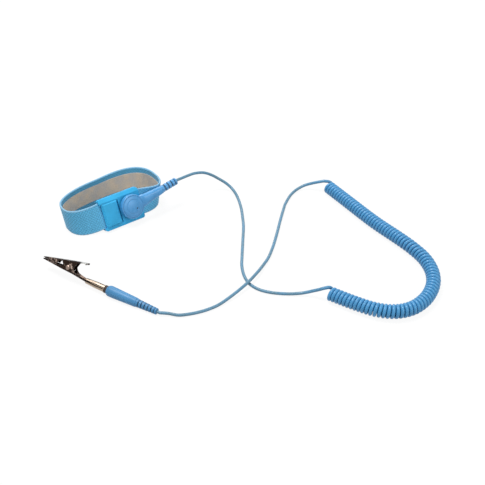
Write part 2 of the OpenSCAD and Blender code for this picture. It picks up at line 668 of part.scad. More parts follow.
// Share of the curls that each step of the middle line takes: less on the inside of the bend
coil_sums = running_sum([for (i = [0 : coil_count - 2])
    norm(coil_line[i + 1] - coil_line[i]) - coil_r * abs(coil_dir[i + 1] - coil_dir[i]) * PI / 180]);
coil_total = coil_sums[coil_count - 1];
coil_turn_at = [for (s = coil_sums) coil_turns * s / coil_total];
function coil_table(values) = [for (i = [0 : coil_count - 1]) [coil_turn_at[i], values[i]]];
coil_x_table = coil_table([for (p = coil_line) p[0]]);
coil_y_table = coil_table([for (p = coil_line) p[1]]);
coil_dir_table = coil_table(coil_dir);
function coil_side(u) = let (d = lookup(u, coil_dir_table)) [-sin(d), cos(d), 0];
function coil_out(u) = coil_side(u) * cos(90 - 360 * u) + [0, 0, sin(90 - 360 * u)];
function coil_point(u) =
    [lookup(u, coil_x_table), lookup(u, coil_y_table), coil_z] + coil_r * coil_out(u);
curl_points = [for (i = [0 : coil_turns * rings_per_curl]) coil_point(i / rings_per_curl)];
coil_start = curl_points[0] - coil_side(0) * cord_d;
coil_finish = curl_points[len(curl_points) - 1] + coil_side(coil_turns) * cord_d;

coil_stack = let (n = len(curl_points) - 1) concat(
    [ring(coil_start, coil_side(0), [0, 0, 1], cord_r, coil_sides)],
    [for (i = [0 : n]) ring(curl_points[i],
        i == 0 ? coil_side(0) : i == n ? coil_side(coil_turns) : heading(curl_points, i),
        coil_out(i / rings_per_curl), cord_r, coil_sides)],
    [ring(coil_finish, coil_side(coil_turns), [0, 0, 1], cord_r, coil_sides)]);
// The least gap between a curl and the next one
coil_gap = min([for (i = [0 : len(curl_points) - 12], j = [5 : 11])
    norm(curl_points[i + j] - curl_points[i])]) - cord_d;
echo(coil_gap = coil_gap, coil_pitch = coil_total / coil_turns);

boot_tip = from_snap([boot_len, 0, neck_z]);
boot_dir = unit(boot_tip - from_snap([0, 0, neck_z]));
tail_tip = from_plug([-grip_len - tail_len, 0, 0]);
tail_dir = unit(tail_tip - from_plug([0, 0, 0]));

module cord_lead_strap() color([0.36, 0.62, 0.86]) tube(
    lead_stack(boot_tip, boot_dir, strap_lead_points, coil_finish, -coil_side(coil_turns)),
    lead_sides);

module cord_coil() color([0.28, 0.62, 0.93]) tube(coil_stack, coil_sides);

module cord_lead_plug() color([0.36, 0.62, 0.86]) tube(
    lead_stack(tail_tip, tail_dir, plug_lead_points, coil_start, coil_side(0)), lead_sides);

// ---- Plug ----

module plug_handle() color([0.24, 0.55, 0.88]) at_plug() turned([
    [-grip_len, 0], [-grip_len, tail_r0 + 0.1], [-grip_len + 1, tail_r0 + 0.4],
    [-grip_len * 0.6, grip_d / 2 - 0.35], [-grip_len * 0.3, grip_d / 2 - 0.05],
    [-4.5, grip_d / 2], [-2, grip_d / 2 - 0.35], [-0.8, grip_d / 2 - 1.05],
    [0, grip_d / 2 - 1.45], [0, stem_d / 2 + 0.6], [crimp_x, stem_d / 2 + 0.6],
    [crimp_x, crimp_d / 2 - 0.01], [grip_bore_x, crimp_d / 2 - 0.01], [grip_bore_x, 0]]);

module plug_strain_relief() color([0.24, 0.55, 0.88]) at_plug() translate([-grip_len, 0, 0])
    mirror([1, 0, 0]) ribbed_taper(tail_len, tail_r0, tail_r1, tail_ribs, cord_r + 0.45);

module plug_pin() color("goldenrod") at_plug() turned([
    [crimp_x, 0], [crimp_x, stem_d / 2 + 0.6], [0, stem_d / 2 + 0.6], [0, grip_d / 2 - 1.2],
    [flange_t, grip_d / 2 - 1.2], [flange_t, stem_d / 2], [cage_x1 + 0.3, stem_d / 2],
    [cage_x1 + 0.3, nose_r], [plug_len - 1.4, nose_r], [plug_len, 0.6],
    [plug_len, 0]]);

module plug_crimp() color("silver") at_plug() turned([
    [grip_bore_x, 0], [grip_bore_x, crimp_d / 2 - 0.01], [-17, crimp_d / 2 - 0.01],
    [-16.6, crimp_d / 2 - 0.3], [-14.4, crimp_d / 2 - 0.3], [-14, crimp_d / 2 - 0.01],
    [crimp_x, crimp_d / 2 - 0.01], [crimp_x, 0]]);

// A bowed leaf cage: a thin bulging sleeve with slots, and a plain ring at each end
module plug_spring_cage() color("gold") at_plug() {
    r_in = stem_d / 2 + fit_gap;
    mid = (cage_x0 + cage_x1) / 2;
    half = (cage_x1 - cage_x0) / 2;
    bow = cage_d / 2 - leaf_t - r_in;
    steps = 10;
    difference() {
        turned(concat(
            [for (i = [0 : steps]) let (k = i / steps)
                [cage_x0 + 2 * half * k, r_in + leaf_t + bow * pow(sin(180 * k), 0.8)]],
            [for (i = [steps : -1 : 0]) let (k = i / steps)
                [cage_x0 + 2 * half * k, r_in + bow * pow(sin(180 * k), 0.8)]]));
        for (a = [0 : 60 : 120]) rotate([a, 0, 0])
            translate([mid - half + 1.4, -0.3, -cage_d])
                cube([2 * half - 2.8, 0.6, 2 * cage_d]);
    }
}

// ---- Clip ----

// The barrel's outline, as a profile in x and radius
function barrel_profile(inset) = [
    [barrel_x0, barrel_r - inset], [barrel_neck_x, barrel_r - inset],
    [barrel_x1, barrel_tip_r - inset]];
module clip_socket() color([0.78, 0.62, 0.36]) at_clip() difference() {
    turned(concat(
        barrel_profile(0),
        [for (i = [2 : -1 : 0]) barrel_profile(barrel_wall)[i]]));
    // The seam
    rotate([-30, 0, 0]) translate([barrel_x0 - 1, -0.35, 0])
        cube([barrel_len + 2, 0.7, barrel_r + 1]);
}

// Teeth as points along a line from a to b, standing up by h on one side
function teeth(a, b, count, h) = [for (i = [0 : count - 1])
    each [a + (b - a) * i / count, a + (b - a) * (i + 0.5) / count + [0, h]]];

// A jaw's plan: half widths at the tip, the rivet and the back
module jaw_plan(half_tip, half_mid, half_back, x_back, inset)
    linear_extrude(2 * clip_reach, center = true) polygon([
        [clip_len - inset, -half_tip + inset], [rivet_x + 5, -half_mid + inset],
        [rivet_x - 4, -half_mid + inset], [x_back - inset, -half_back + inset],
        [x_back - inset, half_back - inset], [rivet_x - 4, half_mid - inset],
        [rivet_x + 5, half_mid - inset], [clip_len - inset, half_tip - inset]]);

// A side view turned upright and given more than the jaw's width
module side_view(points) rotate([90, 0, 0])
    linear_extrude(2 * clip_reach, center = true) polygon(points);

module clip_lower_jaw() color([0.36, 0.27, 0.22]) at_clip() difference() {
    intersection() {
        jaw_plan(tip_w / 2, jaw_w / 2, tang_half, tang_x, 0);
        side_view(concat(
            [[tang_x, tang_z0], [knee_x, knee_z], [clip_len, bite_z - tooth_h - 0.3],
                [clip_len, bite_z - tooth_h / 2]],
            teeth([teeth_x1, bite_z - tooth_h], [teeth_x0, bite_z - tooth_h], jaw_teeth, tooth_h),
            // The wall below the side window, and the ear around the rivet
            [[teeth_x0 - 1, bite_z - 0.1], [rivet_x + 5, bite_z + 0.2],
                [rivet_x + 4.1, rivet_up + 0.4], [rivet_x + 2.9, rivet_up + 2.2],
                [rivet_x + 1.1, rivet_up + 3.2], [rivet_x - 0.9, rivet_up + 3.3],
                [rivet_x - 2.4, rivet_up + 2.9], [rivet_x - 3.9, rivet_up + 1],
                [rivet_x - 5.3, rivet_up - 0.7], [rivet_x - 7, rivet_up - 1.8],
                [rivet_x - 10.5, rivet_up - 2.5], [tang_x, tang_z1]]));
    }
    // The channel between the side walls
    intersection() {
        jaw_plan(tip_w / 2, jaw_w / 2, tang_half, tang_x - 3, sheet_t);
        side_view([
            [tang_x - 4, tang_z0 + sheet_t], [tang_x, tang_z0 + sheet_t],
            [knee_x, knee_z + sheet_t], [clip_len - sheet_t, bite_z - tooth_h],
            [clip_len - sheet_t, clip_reach], [tang_x - 4, clip_reach]]);
    }
    translate([rivet_x, 0, rivet_up]) rotate([90, 0, 0])
        cylinder(d = rivet_d, h = jaw_w * 2, center = true);
    // The barrel's wall around the tang
    turned([
        [tang_x - 1, clip_reach], [tang_x - 1, barrel_tip_r - barrel_wall],
        [barrel_x1, barrel_tip_r - barrel_wall], [barrel_x1, clip_reach]]);
}

module clip_upper_jaw() color([0.36, 0.27, 0.22]) at_clip() {
    roof = [
        [clip_len, bite_z + 0.9], [rivet_x + 3, rivet_up + 4.35], [lever_x, lever_up - 0.8],
        [thumb_x, lever_up]];
    difference() {
        intersection() {
            jaw_plan(tip_w / 2 - 0.1, upper_half, upper_half, thumb_x, 0);
            side_view(concat(
                teeth([teeth_x0, bite_z + bite_gap], [teeth_x1, bite_z + bite_gap],
                    jaw_teeth, tooth_h),
                [[clip_len, bite_z + 0.4]],
                roof,
                // The lever's turned-down end, its underside and the walls' rear edge
                [[thumb_x, lever_up - 1.1], [thumb_x + sheet_t, lever_up - 1.2],
                    [thumb_x + sheet_t, lever_up - 0.6], [lever_x, lever_up - 1.35],
                    [rivet_x - 5.8, rivet_up + 4.8], [rivet_x - 4.4, rivet_up + 1.5],
                    [rivet_x - 4.8, rivet_up - 0.1], [rivet_x - 1, rivet_up - 1.2],
                    [rivet_x + 3, rivet_up - 1.2]],
                // The side window up to the roof
                [[rivet_x + 4.2, rivet_up - 0.6], [rivet_x + 4.6, rivet_up + 0.8],
                    [rivet_x + 6, rivet_up + 2.8], [rivet_x + 9, rivet_up + 1.7],
                    [rivet_x + 9.8, rivet_up - 0.3], [teeth_x0 - 1, bite_z + 0.3]]));
        }
        // The channel under the roof, between the side walls
        intersection() {
            jaw_plan(tip_w / 2 - 0.1, upper_half, upper_half, thumb_x - 3, sheet_t);
            side_view(concat(
                [[thumb_x + sheet_t, -clip_reach], [clip_len - sheet_t, -clip_reach],
                    [clip_len - sheet_t, roof[0][1] - sheet_t + 0.1]],
                [for (i = [1 : 2]) roof[i] - [0, sheet_t]],
                [[thumb_x + sheet_t, lever_up - 0.1 - sheet_t]]));
        }
        translate([rivet_x, 0, rivet_up]) rotate([90, 0, 0])
            cylinder(d = rivet_d + 2 * fit_gap, h = jaw_w * 2, center = true);
    }
}

module clip_rivet() color("silver") at_clip() translate([rivet_x, 0, rivet_up]) rotate([90, 0, 0]) {
    cylinder(d = rivet_d, h = jaw_w, center = true);
    for (k = [-1, 1]) scale([1, 1, k]) translate([0, 0, jaw_w / 2])
        cylinder(d1 = rivet_d + 1.4, d2 = rivet_d, h = 0.5);
}

// Torsion spring: curls around the rivet, with a leg to each jaw's sheet
function spring_point(u) = [
    rivet_x + spring_r * cos(spring_phase - 360 * u),
    spring_span * (u / (spring_turns + spring_part) - 0.5),
    rivet_up + spring_r * sin(spring_phase - 360 * u)];
spring_curls = let (n = (spring_turns + spring_part) * rings_per_curl)
    [for (i = [0 : n]) spring_point(i / rings_per_curl)];
spring_end = len(spring_curls) - 1;
// A leg runs on from the last curl, along the jaws' side walls
function spring_leg(a, b, length) = b + unit([b[0] - a[0], 0, b[2] - a[2]]) * length;
spring_path = concat(
    [spring_leg(spring_curls[1], spring_curls[0], spring_leg_up)],
    spring_curls,
    [spring_leg(spring_curls[spring_end - 1], spring_curls[spring_end], spring_leg_down)]);
echo(spring_gap = min([for (i = [0 : spring_end - rings_per_curl])
    norm(spring_curls[i + rings_per_curl] - spring_curls[i])]) - spring_wire);
module clip_spring() color("silver") at_clip() tube(
    [for (i = [0 : len(spring_path) - 1])
        ring(spring_path[i], heading(spring_path, i), [0, 1, 0], spring_wire / 2, 6)], 6);

elastic_band();
conductive_lining();
buckle_base();
clamp_flap();
flap_hinge_pin();
skin_plate();
snap_stud();
stud_rivet();
snap_spring_ring();
snap_socket();
snap_housing();
snap_cover();
resistor();
resistor_leads();
snap_strain_relief();
cord_lead_strap();
cord_coil();
cord_lead_plug();
plug_handle();
plug_strain_relief();
plug_pin();
plug_crimp();
plug_spring_cage();
clip_socket();
clip_lower_jaw();
clip_upper_jaw();
clip_rivet();
clip_spring();
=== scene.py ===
"""Grounding wrist strap: the visible pieces, their finishes and the stage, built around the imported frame."""

import math

import bmesh
import bpy
import numpy as np
from bpy.props import FloatProperty, FloatVectorProperty, IntProperty, PointerProperty
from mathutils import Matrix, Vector


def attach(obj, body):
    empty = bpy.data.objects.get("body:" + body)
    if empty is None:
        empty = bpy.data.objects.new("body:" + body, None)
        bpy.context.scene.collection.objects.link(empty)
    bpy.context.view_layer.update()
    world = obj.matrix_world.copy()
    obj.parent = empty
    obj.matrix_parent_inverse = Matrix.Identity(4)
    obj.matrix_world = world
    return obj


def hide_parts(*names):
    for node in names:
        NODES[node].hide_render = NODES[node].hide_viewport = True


bl_info = {
    "name": "Grounding Wrist Strap",
    "version": (1, 0, 0),
    "blender": (4, 5, 0),
    "location": "3D View > Sidebar > Wrist Strap",
    "description": "Builds a grounding wristband with its curly cord, plug and alligator clip",
    "category": "Object",
}

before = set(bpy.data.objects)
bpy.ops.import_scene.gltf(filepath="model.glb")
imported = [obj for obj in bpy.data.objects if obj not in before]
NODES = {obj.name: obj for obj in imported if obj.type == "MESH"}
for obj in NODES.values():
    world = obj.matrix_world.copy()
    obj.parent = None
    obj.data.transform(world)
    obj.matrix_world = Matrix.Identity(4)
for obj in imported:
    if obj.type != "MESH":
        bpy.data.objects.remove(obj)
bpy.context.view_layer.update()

MM = 0.001
TAU = 2 * math.pi

# ---- Sizes that the solids have too, in millimetres and radians ----

LEAN = math.radians(24)
LOOP_POWER = 2.5
RIM_LONGER = 5
RIM_SKEW = 0.28
RIM_FADE = 5
EDGE_WALL = 1.9
RAIL_T = 1.8
FLOOR_T = 1.1
BASE_CHAMFER = 1.2
BASE_LEN = 33
STRAP_ROOM = 0.1
FLAP_PROUD = 0.9
RAIL_H = 2.4
FLAP_GAP = 0.2
FIXED_END_X = 9.5
FREE_END_X = -1.4
SNAP_X = 7
BOOT_RISE = math.radians(9)
HEAD_R = 9.1
HEAD_Z0 = 1.5
HEAD_Z1 = 5.7
COVER_R = 8.0
DOME_H = 1.3
NECK_Z = 4.3
NECK_T = 5.6
NECK_W = 8.4
NECK_END_W = 5.8
BOOT_LEN = 40
PLUG_SPOT = (-50.8, -81.2)
PLUG_HEADING = math.radians(113.5)
PLUG_TILT = math.radians(2.2)
PLUG_Z = 3.85
GRIP_LEN = 25
GRIP_R = 3.85
TAIL_R0 = 2.8
TAIL_R1 = 2.2
CLIP_ROLL = math.radians(33)
BARREL_X0 = 1.9
BARREL_X1 = 16.9
BARREL_NECK_X = 8.0
BARREL_R = 2.4
BARREL_TIP_R = 1.9
BARREL_WALL = 0.35
RIVET_X = 32.5
RIVET_UP = 4

# ---- Sizes of the visible pieces, in millimetres and radians. The solids have some otherwise ----

# The strap: how much fuller its upper edge is and how far its lower edge tucks in, the plain
# border of its weave, and the reliefs of the weave and the lining
RIM_FULLER = 3.5
FOOT_TUCK = 1.5
HEM = 1.2
WEAVE_DEPTH = 0.07
STITCH_ROW = 0.8
STITCH_LEN = 1.2
STITCH_DEPTH = 0.04
LINING_SUNK = 0.12
# The slot beside the flap
FLAP_SLOT = (-2.45, -1.4)
SLOT_TOP = 20.2
SLOT_DEPTH = 1.5
# The connector: sides of its round forms, the power of the neck's ovals, the step at which head
# and neck are fused, its ribs, and the ring and the dimple pressed into the cover
HEAD_SIDES = 96
NECK_POWER = 2.6
FUSE_STEP = 0.17
RELIEF_X = 26.4
RELIEF_TIP_R = 2.8
RELIEF_RIBS = 4
RIB_SHARE = 0.66
RING_R = 5.3
RING_W = 0.28
RING_DEPTH = 0.22
DIMPLE_SPOT = (2.0, -2.3)
DIMPLE_R = 0.6
DIMPLE_DEPTH = 0.6
# The plug's tail and collar
TAIL_LEN = 16.2
TAIL_RIBS = 6
CORD_IN_TAIL = 12
COLLAR_X = (-1.1, 1.2)
# The clip's barrel, where BARREL_DARK is its top's painted shade line, 0 to 1 around, and spring
SEAM_W = 0.7
SEAM_TURN = math.radians(-80)
BARREL_DARK = 0.17
SPRING_R = 1.6
SPRING_SPAN = 2.5
SPRING_WIRE_R = 0.25
SPRING_TURNS = 2.5
SPRING_PHASE = math.radians(72)
SPRING_LEGS = (4.4, 5.0)

# ---- The cord's route points, in metres. The solids' leads differ towards the coil ----

STRAP_LEAD = MM * np.array([
    [59.5, -16.5, 19.5], [65.5, -16.5, 19], [72.5, -17, 17], [78.5, -18.5, 13.5],
    [83.5, -21.5, 9.5], [87.5, -26, 6], [89, -32.5, 3.2], [87, -41.5, 1.6], [81.5, -53.5, 1.2],
    [75, -64.5, 1.2], [68.5, -74.5, 1.2], [58.5, -87.5, 1.2], [46.5, -103, 1.2],
    [40.5, -111, 1.2], [35.8, -119.5, 1.2], [33.2, -127.5, 1.2], [33, -133.5, 1.2],
    [34.8, -139.9, 1.2], [38.7, -146, 1.2], [43.4, -150.9, 1.2], [48.6, -155.3, 1.3],
    [54.1, -159.3, 1.8], [57.7, -162.3, 3.0], [60.4, -165.2, 4.8], [62.4, -168.4, 7.0]])
PLUG_LEAD = MM * np.array([
    [-29, -124.5, 1.8], [-24, -129.5, 1.3], [-16.5, -133, 1.2], [-10, -135, 1.2],
    [-4, -136, 1.2], [2.5, -136.3, 1.3], [10, -135.5, 1.8], [21, -133.8, 3.1],
    [32, -130.7, 3.7], [44, -125.1, 3], [53, -119.8, 1.8], [61.5, -114.5, 1.3],
    [72, -106, 1.2], [83.5, -95.5, 1.2], [96, -83.5, 1.2], [108.5, -72, 1.2],
    [112.2, -68.9, 1.2], [121.4, -62.8, 1.2], [128.5, -60, 1.5], [133.8, -59.5, 2.2],
    [137.7, -60.7, 3.5], [140.9, -63.5, 5.2], [143.6, -66.7, 7.0]])
COIL_ROUTE = MM * np.array([
    [149.5, -74.5], [148.5, -96.5], [147, -129.5], [147.7, -156.5], [147.5, -170.5],
    [145.8, -183.5], [141, -195.5], [133.8, -205], [124.5, -212], [113.5, -216.5],
    [101.5, -217.5], [90.5, -213.5], [81.5, -204.5], [74.5, -191], [67.5, -173.5]])
# Places along the coil's line and the spacing of the curls there, in millimetres
CURL_PITCH = ((0, 78, 92, 135, 150, 170, 228), (2.72, 2.68, 3.2, 3.15, 2.9, 2.68, 2.62))
# How many times thicker the cord is in its curls, and how far and over what part of a curl each
# end of the coil opens out
CURL_SWELL = 1.14
COIL_OPEN = 2.1 * MM
COIL_OPEN_TURN = 0.3
# Points on each curl, and sides of the cord
CURL_STEPS = 36
CORD_SIDES = 18
# Steps before and after each end of the coil over which the cord's look fades
FADE_STEPS = 20

# ---- The view ----

# The camera's place and aim in metres, and its lens
VIEW_FROM = (-0.2819, -0.55557, 0.4352)
VIEW_AT = (0.05756, -0.08834, 0.0)
VIEW_LENS_MM = 74.07
LAMP_AIM = (0.05, -0.09, 0.0)
# Each lamp's name, place and width in metres, and power in watts
LAMPS = (
    ("key softbox", (-0.15, 0.2, 1.25), 0.45, 13.0),
    ("fill softbox", (0.3, -1.25, 0.9), 0.8, 6.0),
    ("rear softbox", (0.45, 0.9, 0.8), 0.6, 3.0))
# Half the floor's width and its height, in metres
FLOOR_HALF = 4.0
FLOOR_Z = -0.0002


def length_setting(name, description, default, least, most):
    return FloatProperty(
        name=name, description=description, default=default, min=least, max=most, unit="LENGTH")


def colour_setting(name, description, default):
    return FloatVectorProperty(
        name=name, description=description, default=default, min=0, max=1, size=3,
        subtype="COLOR")


class WristStrapSizes(bpy.types.PropertyGroup):
    """Sizes of the wristband and its cord"""

    strap_width: length_setting("Strap width", "Width of the woven strap", 0.020, 0.015, 0.025)
    strap_thickness: length_setting(
        "Strap thickness", "Thickness of the woven strap", 0.0014, 0.001, 0.002)
    lining_thickness: length_setting(
        "Lining thickness", "Thickness of the conductive lining", 0.0004, 0.0002, 0.0008)
    lining_border: length_setting(
        "Lining border", "Bare strap above and below the lining", 0.004, 0.001, 0.006)
    loop_length: length_setting(
        "Loop length", "Length of the loop at its lower edge", 0.075, 0.06, 0.09)
    loop_depth: length_setting(
        "Loop depth", "Depth of the loop at its lower edge", 0.040, 0.036, 0.05)
    weave_height: length_setting(
        "Weave height", "Height of one diamond of the strap's weave", 0.0023, 0.001, 0.004)
    weave_length: length_setting(
        "Weave length", "Length of one diamond of the strap's weave", 0.0023, 0.001, 0.004)
    cord_diameter: length_setting(
        "Cord diameter", "Diameter of the cord's jacket", 0.0022, 0.0018, 0.0024)
    coil_diameter: length_setting(
        "Coil diameter", "Outer diameter of the curly stretch", 0.010, 0.008, 0.012)
    coil_turns: IntProperty(
        name="Curls", description="Number of curls in the curly stretch",
        default=80, min=20, max=90)


class WristStrapColours(bpy.types.PropertyGroup):
    """Colours of the wrist strap's finishes"""

    strap: colour_setting("Strap", "Colour of the woven strap", (0.10, 0.44, 0.72))
    lining: colour_setting("Lining", "Colour of the conductive lining", (0.57, 0.52, 0.47))
    clasp: colour_setting("Clasp", "Colour of the clasp's plastic", (0.04, 0.40, 0.72))
    connector: colour_setting(
        "Connector", "Colour of the snap connector's plastic", (0.06, 0.29, 0.60))
    lead: colour_setting(
        "Straight leads", "Colour of the cord's straight leads", (0.11, 0.23, 0.32))
    coil: colour_setting("Curls", "Colour of the curly stretch", (0.062, 0.275, 0.53))
    grip: colour_setting("Plug grip", "Colour of the plug's grip", (0.06, 0.23, 0.45))
    jaws: colour_setting("Jaws", "Colour of the clip's dark plated jaws", (0.018, 0.008, 0.004))
    # Also the colour of the painted highlight along the clip's shank
    jaw_wear_and_highlight: colour_setting(
        "Worn jaws", "Colour where the jaws' plating is thin", (0.55, 0.42, 0.35))
    brass: colour_setting("Brass", "Colour of the plug and the clip's barrel", (0.50, 0.40, 0.31))
    nickel: colour_setting("Nickel", "Colour of the plated steel pieces", (0.66, 0.64, 0.60))


def sizes():
    return bpy.context.scene.wrist_strap_sizes


def colours():
    return bpy.context.scene.wrist_strap_colours


# ---- Frames: each takes an array of points in millimetres and gives row points in metres ----


def oval(t, power=LOOP_POWER):
    """An oval's shares of its half length and half depth at an angle: |x|^n + |y|^n = 1."""
    return [np.sign(v) * np.abs(v) ** (2 / power) for v in (np.cos(t), np.sin(t))]


def clasp_layout():
    """The clasp's and the loop's derived sizes in millimetres, worked out as in the part's source.
    rim_depth is the upper edge's depth: an oval skewed along its length, which fades into the
    clasp's hold on it."""
    s = sizes()
    strap_t, lining_t, strap_w = (
        s.strap_thickness / MM, s.lining_thickness / MM, s.strap_width / MM)
    base_t = RAIL_T + strap_t + lining_t + 2 * STRAP_ROOM + FLOOR_T
    base_v0 = (base_t - BASE_CHAMFER) * math.tan(LEAN)
    strap_y = RAIL_T + STRAP_ROOM
    strap_v0 = base_v0 + EDGE_WALL + STRAP_ROOM
    strap_v1 = strap_v0 + strap_w
    base_v1 = strap_v1 + STRAP_ROOM + EDGE_WALL
    long = [s.loop_length / MM / 2, (s.loop_length / MM + RIM_LONGER) / 2]
    deep = s.loop_depth / MM / 2
    share = [(1 - (BASE_LEN / 2 / a) ** LOOP_POWER) ** (1 / LOOP_POWER) for a in long]
    offset = [strap_y * math.cos(LEAN) + v * math.sin(LEAN) for v in (strap_v0, strap_v1)]
    rim_back = offset[1] - offset[0] + deep * (share[1] - share[0])

    def rim_depth(t):
        x, y = oval(t)
        hold = np.where(y < 0, np.abs(y / share[1]) ** RIM_FADE, 0)
        return deep * y * (1 + RIM_SKEW * x * (1 - hold)) + rim_back * hold

    flap_front = (base_v0 + RAIL_H + FLAP_GAP) * math.sin(LEAN) - FLAP_PROUD * math.cos(LEAN)
    front = min(base_v0 * math.sin(LEAN), flap_front)
    back = offset[0] + deep * share[0] + max(deep, rim_depth(np.linspace(0, math.pi, 91)).max())
    foot_y = -(front + back) / 2
    return {
        "strap_y": strap_y, "strap_v": (strap_v0, strap_v1), "long": long, "deep": deep,
        "share": share[0], "rim_depth": rim_depth, "foot_y": foot_y,
        "loop_y": foot_y + offset[0] + deep * share[0], "snap_v": (base_v0 + base_v1) / 2}


def clasp_to_row(p):
    """Turns clasp points (along, inwards, up the face) by the lean and moves them to the foot."""
    p = np.asarray(p, float)
    c, s = math.cos(LEAN), math.sin(LEAN)
    y = clasp_layout()["foot_y"] + p[..., 1] * c + p[..., 2] * s
    return MM * np.stack([p[..., 0], y, p[..., 2] * c - p[..., 1] * s], -1)


def snap_to_row(p):
    """Turns connector points (along the neck, across, away from the clasp) by the neck's rise."""
    p = np.asarray(p, float)
    c, s = math.cos(BOOT_RISE), math.sin(BOOT_RISE)
    x = SNAP_X + p[..., 0] * c - p[..., 1] * s
    v = clasp_layout()["snap_v"] + p[..., 0] * s + p[..., 1] * c
    return clasp_to_row(np.stack([x, -p[..., 2], v], -1))


def plug_to_row(p):
    """Turns plug points (towards the clip's tip, across, up) to the plug's tilt and heading."""
    p = np.asarray(p, float)
    c, s = math.cos(PLUG_TILT), math.sin(PLUG_TILT)
    ahead, up = p[..., 0] * c - p[..., 2] * s, p[..., 0] * s + p[..., 2] * c
    c, s = math.cos(PLUG_HEADING), math.sin(PLUG_HEADING)
    x = PLUG_SPOT[0] + ahead * c - p[..., 1] * s
    y = PLUG_SPOT[1] + ahead * s + p[..., 1] * c
    return MM * np.stack([x, y, PLUG_Z + up], -1)


def clip_to_row(p):
    """Turns clip points about the plug's axis by the clip's roll."""
    p = np.asarray(p, float)
    c, s = math.cos(CLIP_ROLL), math.sin(CLIP_ROLL)
    across, up = p[..., 1] * c - p[..., 2] * s, p[..., 1] * s + p[..., 2] * c
    return plug_to_row(np.stack([p[..., 0], across, up], -1))


# ---- Surfaces ----


def unit(v):
    return v / np.linalg.norm(v, axis=-1, keepdims=True)


def mark(mesh, name, values):
    """Stores one number for each vertex, for a finish to read."""
    marks = mesh.attributes.new(name, "FLOAT", "POINT")
    marks.data.foreach_set("value", np.ravel(values))


def face_outwards(mesh):
    work = bmesh.new()
    work.from_mesh(mesh)
    bmesh.ops.recalc_face_normals(work, faces=work.faces)
    work.to_mesh(mesh)
    work.free()


def skin_mesh(name, grid, uv=None, crease=None):
    """A closed skin over a stack of rings: grid[i, k] is point k of ring i.
    The quad (i, k) joins rings i and i + 1, the last column joins the first, and each end is one
    flat cap. The faces are turned over if the volume under them comes out negative."""
    rows, cols = grid.shape[:2]
    i, k = np.meshgrid(np.arange(rows - 1), np.arange(cols), indexing="ij")
    nxt = (k + 1) % cols
    quads = np.stack([i * cols + k, i * cols + nxt, (i + 1) * cols + nxt, (i + 1) * cols + k], -1)
    quads = quads.reshape(-1, 4)
    flat = grid.reshape(-1, 3)
    a, b, c, d = (flat[quads[:, n]] - flat[0] for n in range(4))
    volume = np.einsum("ij,ij->", a, np.cross(b, c)) + np.einsum("ij,ij->", a, np.cross(c, d))
    caps = [np.arange(cols)[::-1], (rows - 1) * cols + np.arange(cols)]
    if volume < 0:
        quads, caps = quads[:, ::-1], [cap[::-1] for cap in caps]
    mesh = bpy.data.meshes.new(name)
    mesh.from_pydata(flat.tolist(), [], quads.tolist() + [cap.tolist() for cap in caps])
    if uv is not None:
        u, v = (uv[..., n] for n in (0, 1))
        ends = np.stack([i, i, i + 1, i + 1], -1), np.stack([k, k + 1, k + 1, k], -1)
        corner = np.stack([u[ends[0], ends[1]], v[ends[0], ends[1]]], -1).reshape(-1, 4, 2)
        if volume < 0:
            corner = corner[:, ::-1]
        tips = [np.repeat(uv[row, :1], cols, 0) for row in (0, -1)]
        layer = mesh.uv_layers.new(name="UVMap")
        layer.data.foreach_set("uv", np.concatenate([corner.reshape(-1, 2), *tips]).ravel())
    mesh.polygons.foreach_set("use_smooth", np.ones(len(mesh.polygons), bool))
    if crease is not None:
        mesh.set_sharp_from_angle(angle=math.radians(crease))
    mesh.update()
    return mesh


def turned(name, profile, to_row, sides=64, ripple=None, crease=35, upright=False):
    """A profile turned about an axis: the point at angle t is the axis place plus the radius
    times (cos t, sin t). ripple(place, t) may give the radius at each angle instead, and marks the
    grooves. upright turns about the third axis in place of the first."""
    profile = np.array(profile, float)
    t = np.arange(sides) * TAU / sides
    place = np.repeat(profile[:, :1], sides, 1)
    radius = np.maximum(np.repeat(profile[:, 1:], sides, 1), 0.02)
    groove = None
    if ripple is not None:
        radius, groove = ripple(place, t[None, :])
    ring = [radius * np.cos(t), radius * np.sin(t)]
    grid = np.stack([*ring, place] if upright else [place, *ring], -1)
    mesh = skin_mesh(name, to_row(grid), crease=crease)
    # The grooves are marked for painted shade in the finish
    if groove is not None:
        mark(mesh, "groove", groove)
    return mesh


def tube_grid(path, out, radius, sides):
    """Rings of a round tube: ring i lies across the path at point i, and starts at the direction
    out[i] with its part along the path taken away."""
    along = unit(np.gradient(path, axis=0))
    a = unit(out - along * np.sum(out * along, -1, keepdims=True))
    b = np.cross(along, a)
    t = np.arange(sides) * TAU / sides
    circle = a[:, None] * np.cos(t)[:, None] + b[:, None] * np.sin(t)[:, None]
    return path[:, None] + radius * circle


def flowing(points, steps):
    """A smooth curve through points: each stretch is the cubic of its four nearest points."""
    padded = np.concatenate([points[:1], points, points[-1:]])
    a, b, c, d = (padded[n:len(padded) - 3 + n, None] for n in range(4))
    t = (np.arange(steps) / steps)[None, :, None]
    curve = (2 * b + (c - a) * t + (2 * a - 5 * b + 4 * c - d) * t**2
             + (3 * b - a - 3 * c + d) * t**3) / 2
    return np.concatenate([curve.reshape(-1, points.shape[1]), points[-1:]])


def lengths_along(path):
    steps = np.linalg.norm(np.diff(path, axis=0), axis=1)
    return np.concatenate([[0], np.cumsum(steps)])


def evenly(path, step):
    """The same path with its points at even steps along it."""
    s = lengths_along(path)
    at = np.linspace(0, s[-1], max(2, int(round(s[-1] / step)) + 1))
    return np.stack([np.interp(at, s, path[:, n]) for n in range(path.shape[1])], -1)


def place(mesh, body, finish, slot, replaced=()):
    """Makes an object of a mesh, with its finish, and gives it to its body."""
    piece = bpy.data.objects.new(mesh.name, mesh)
    bpy.context.scene.collection.objects.link(piece)
    mesh.materials.clear()
    mesh.materials.append(finish)
    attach(piece, body)
    if replaced:
        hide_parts(*replaced)
    return piece


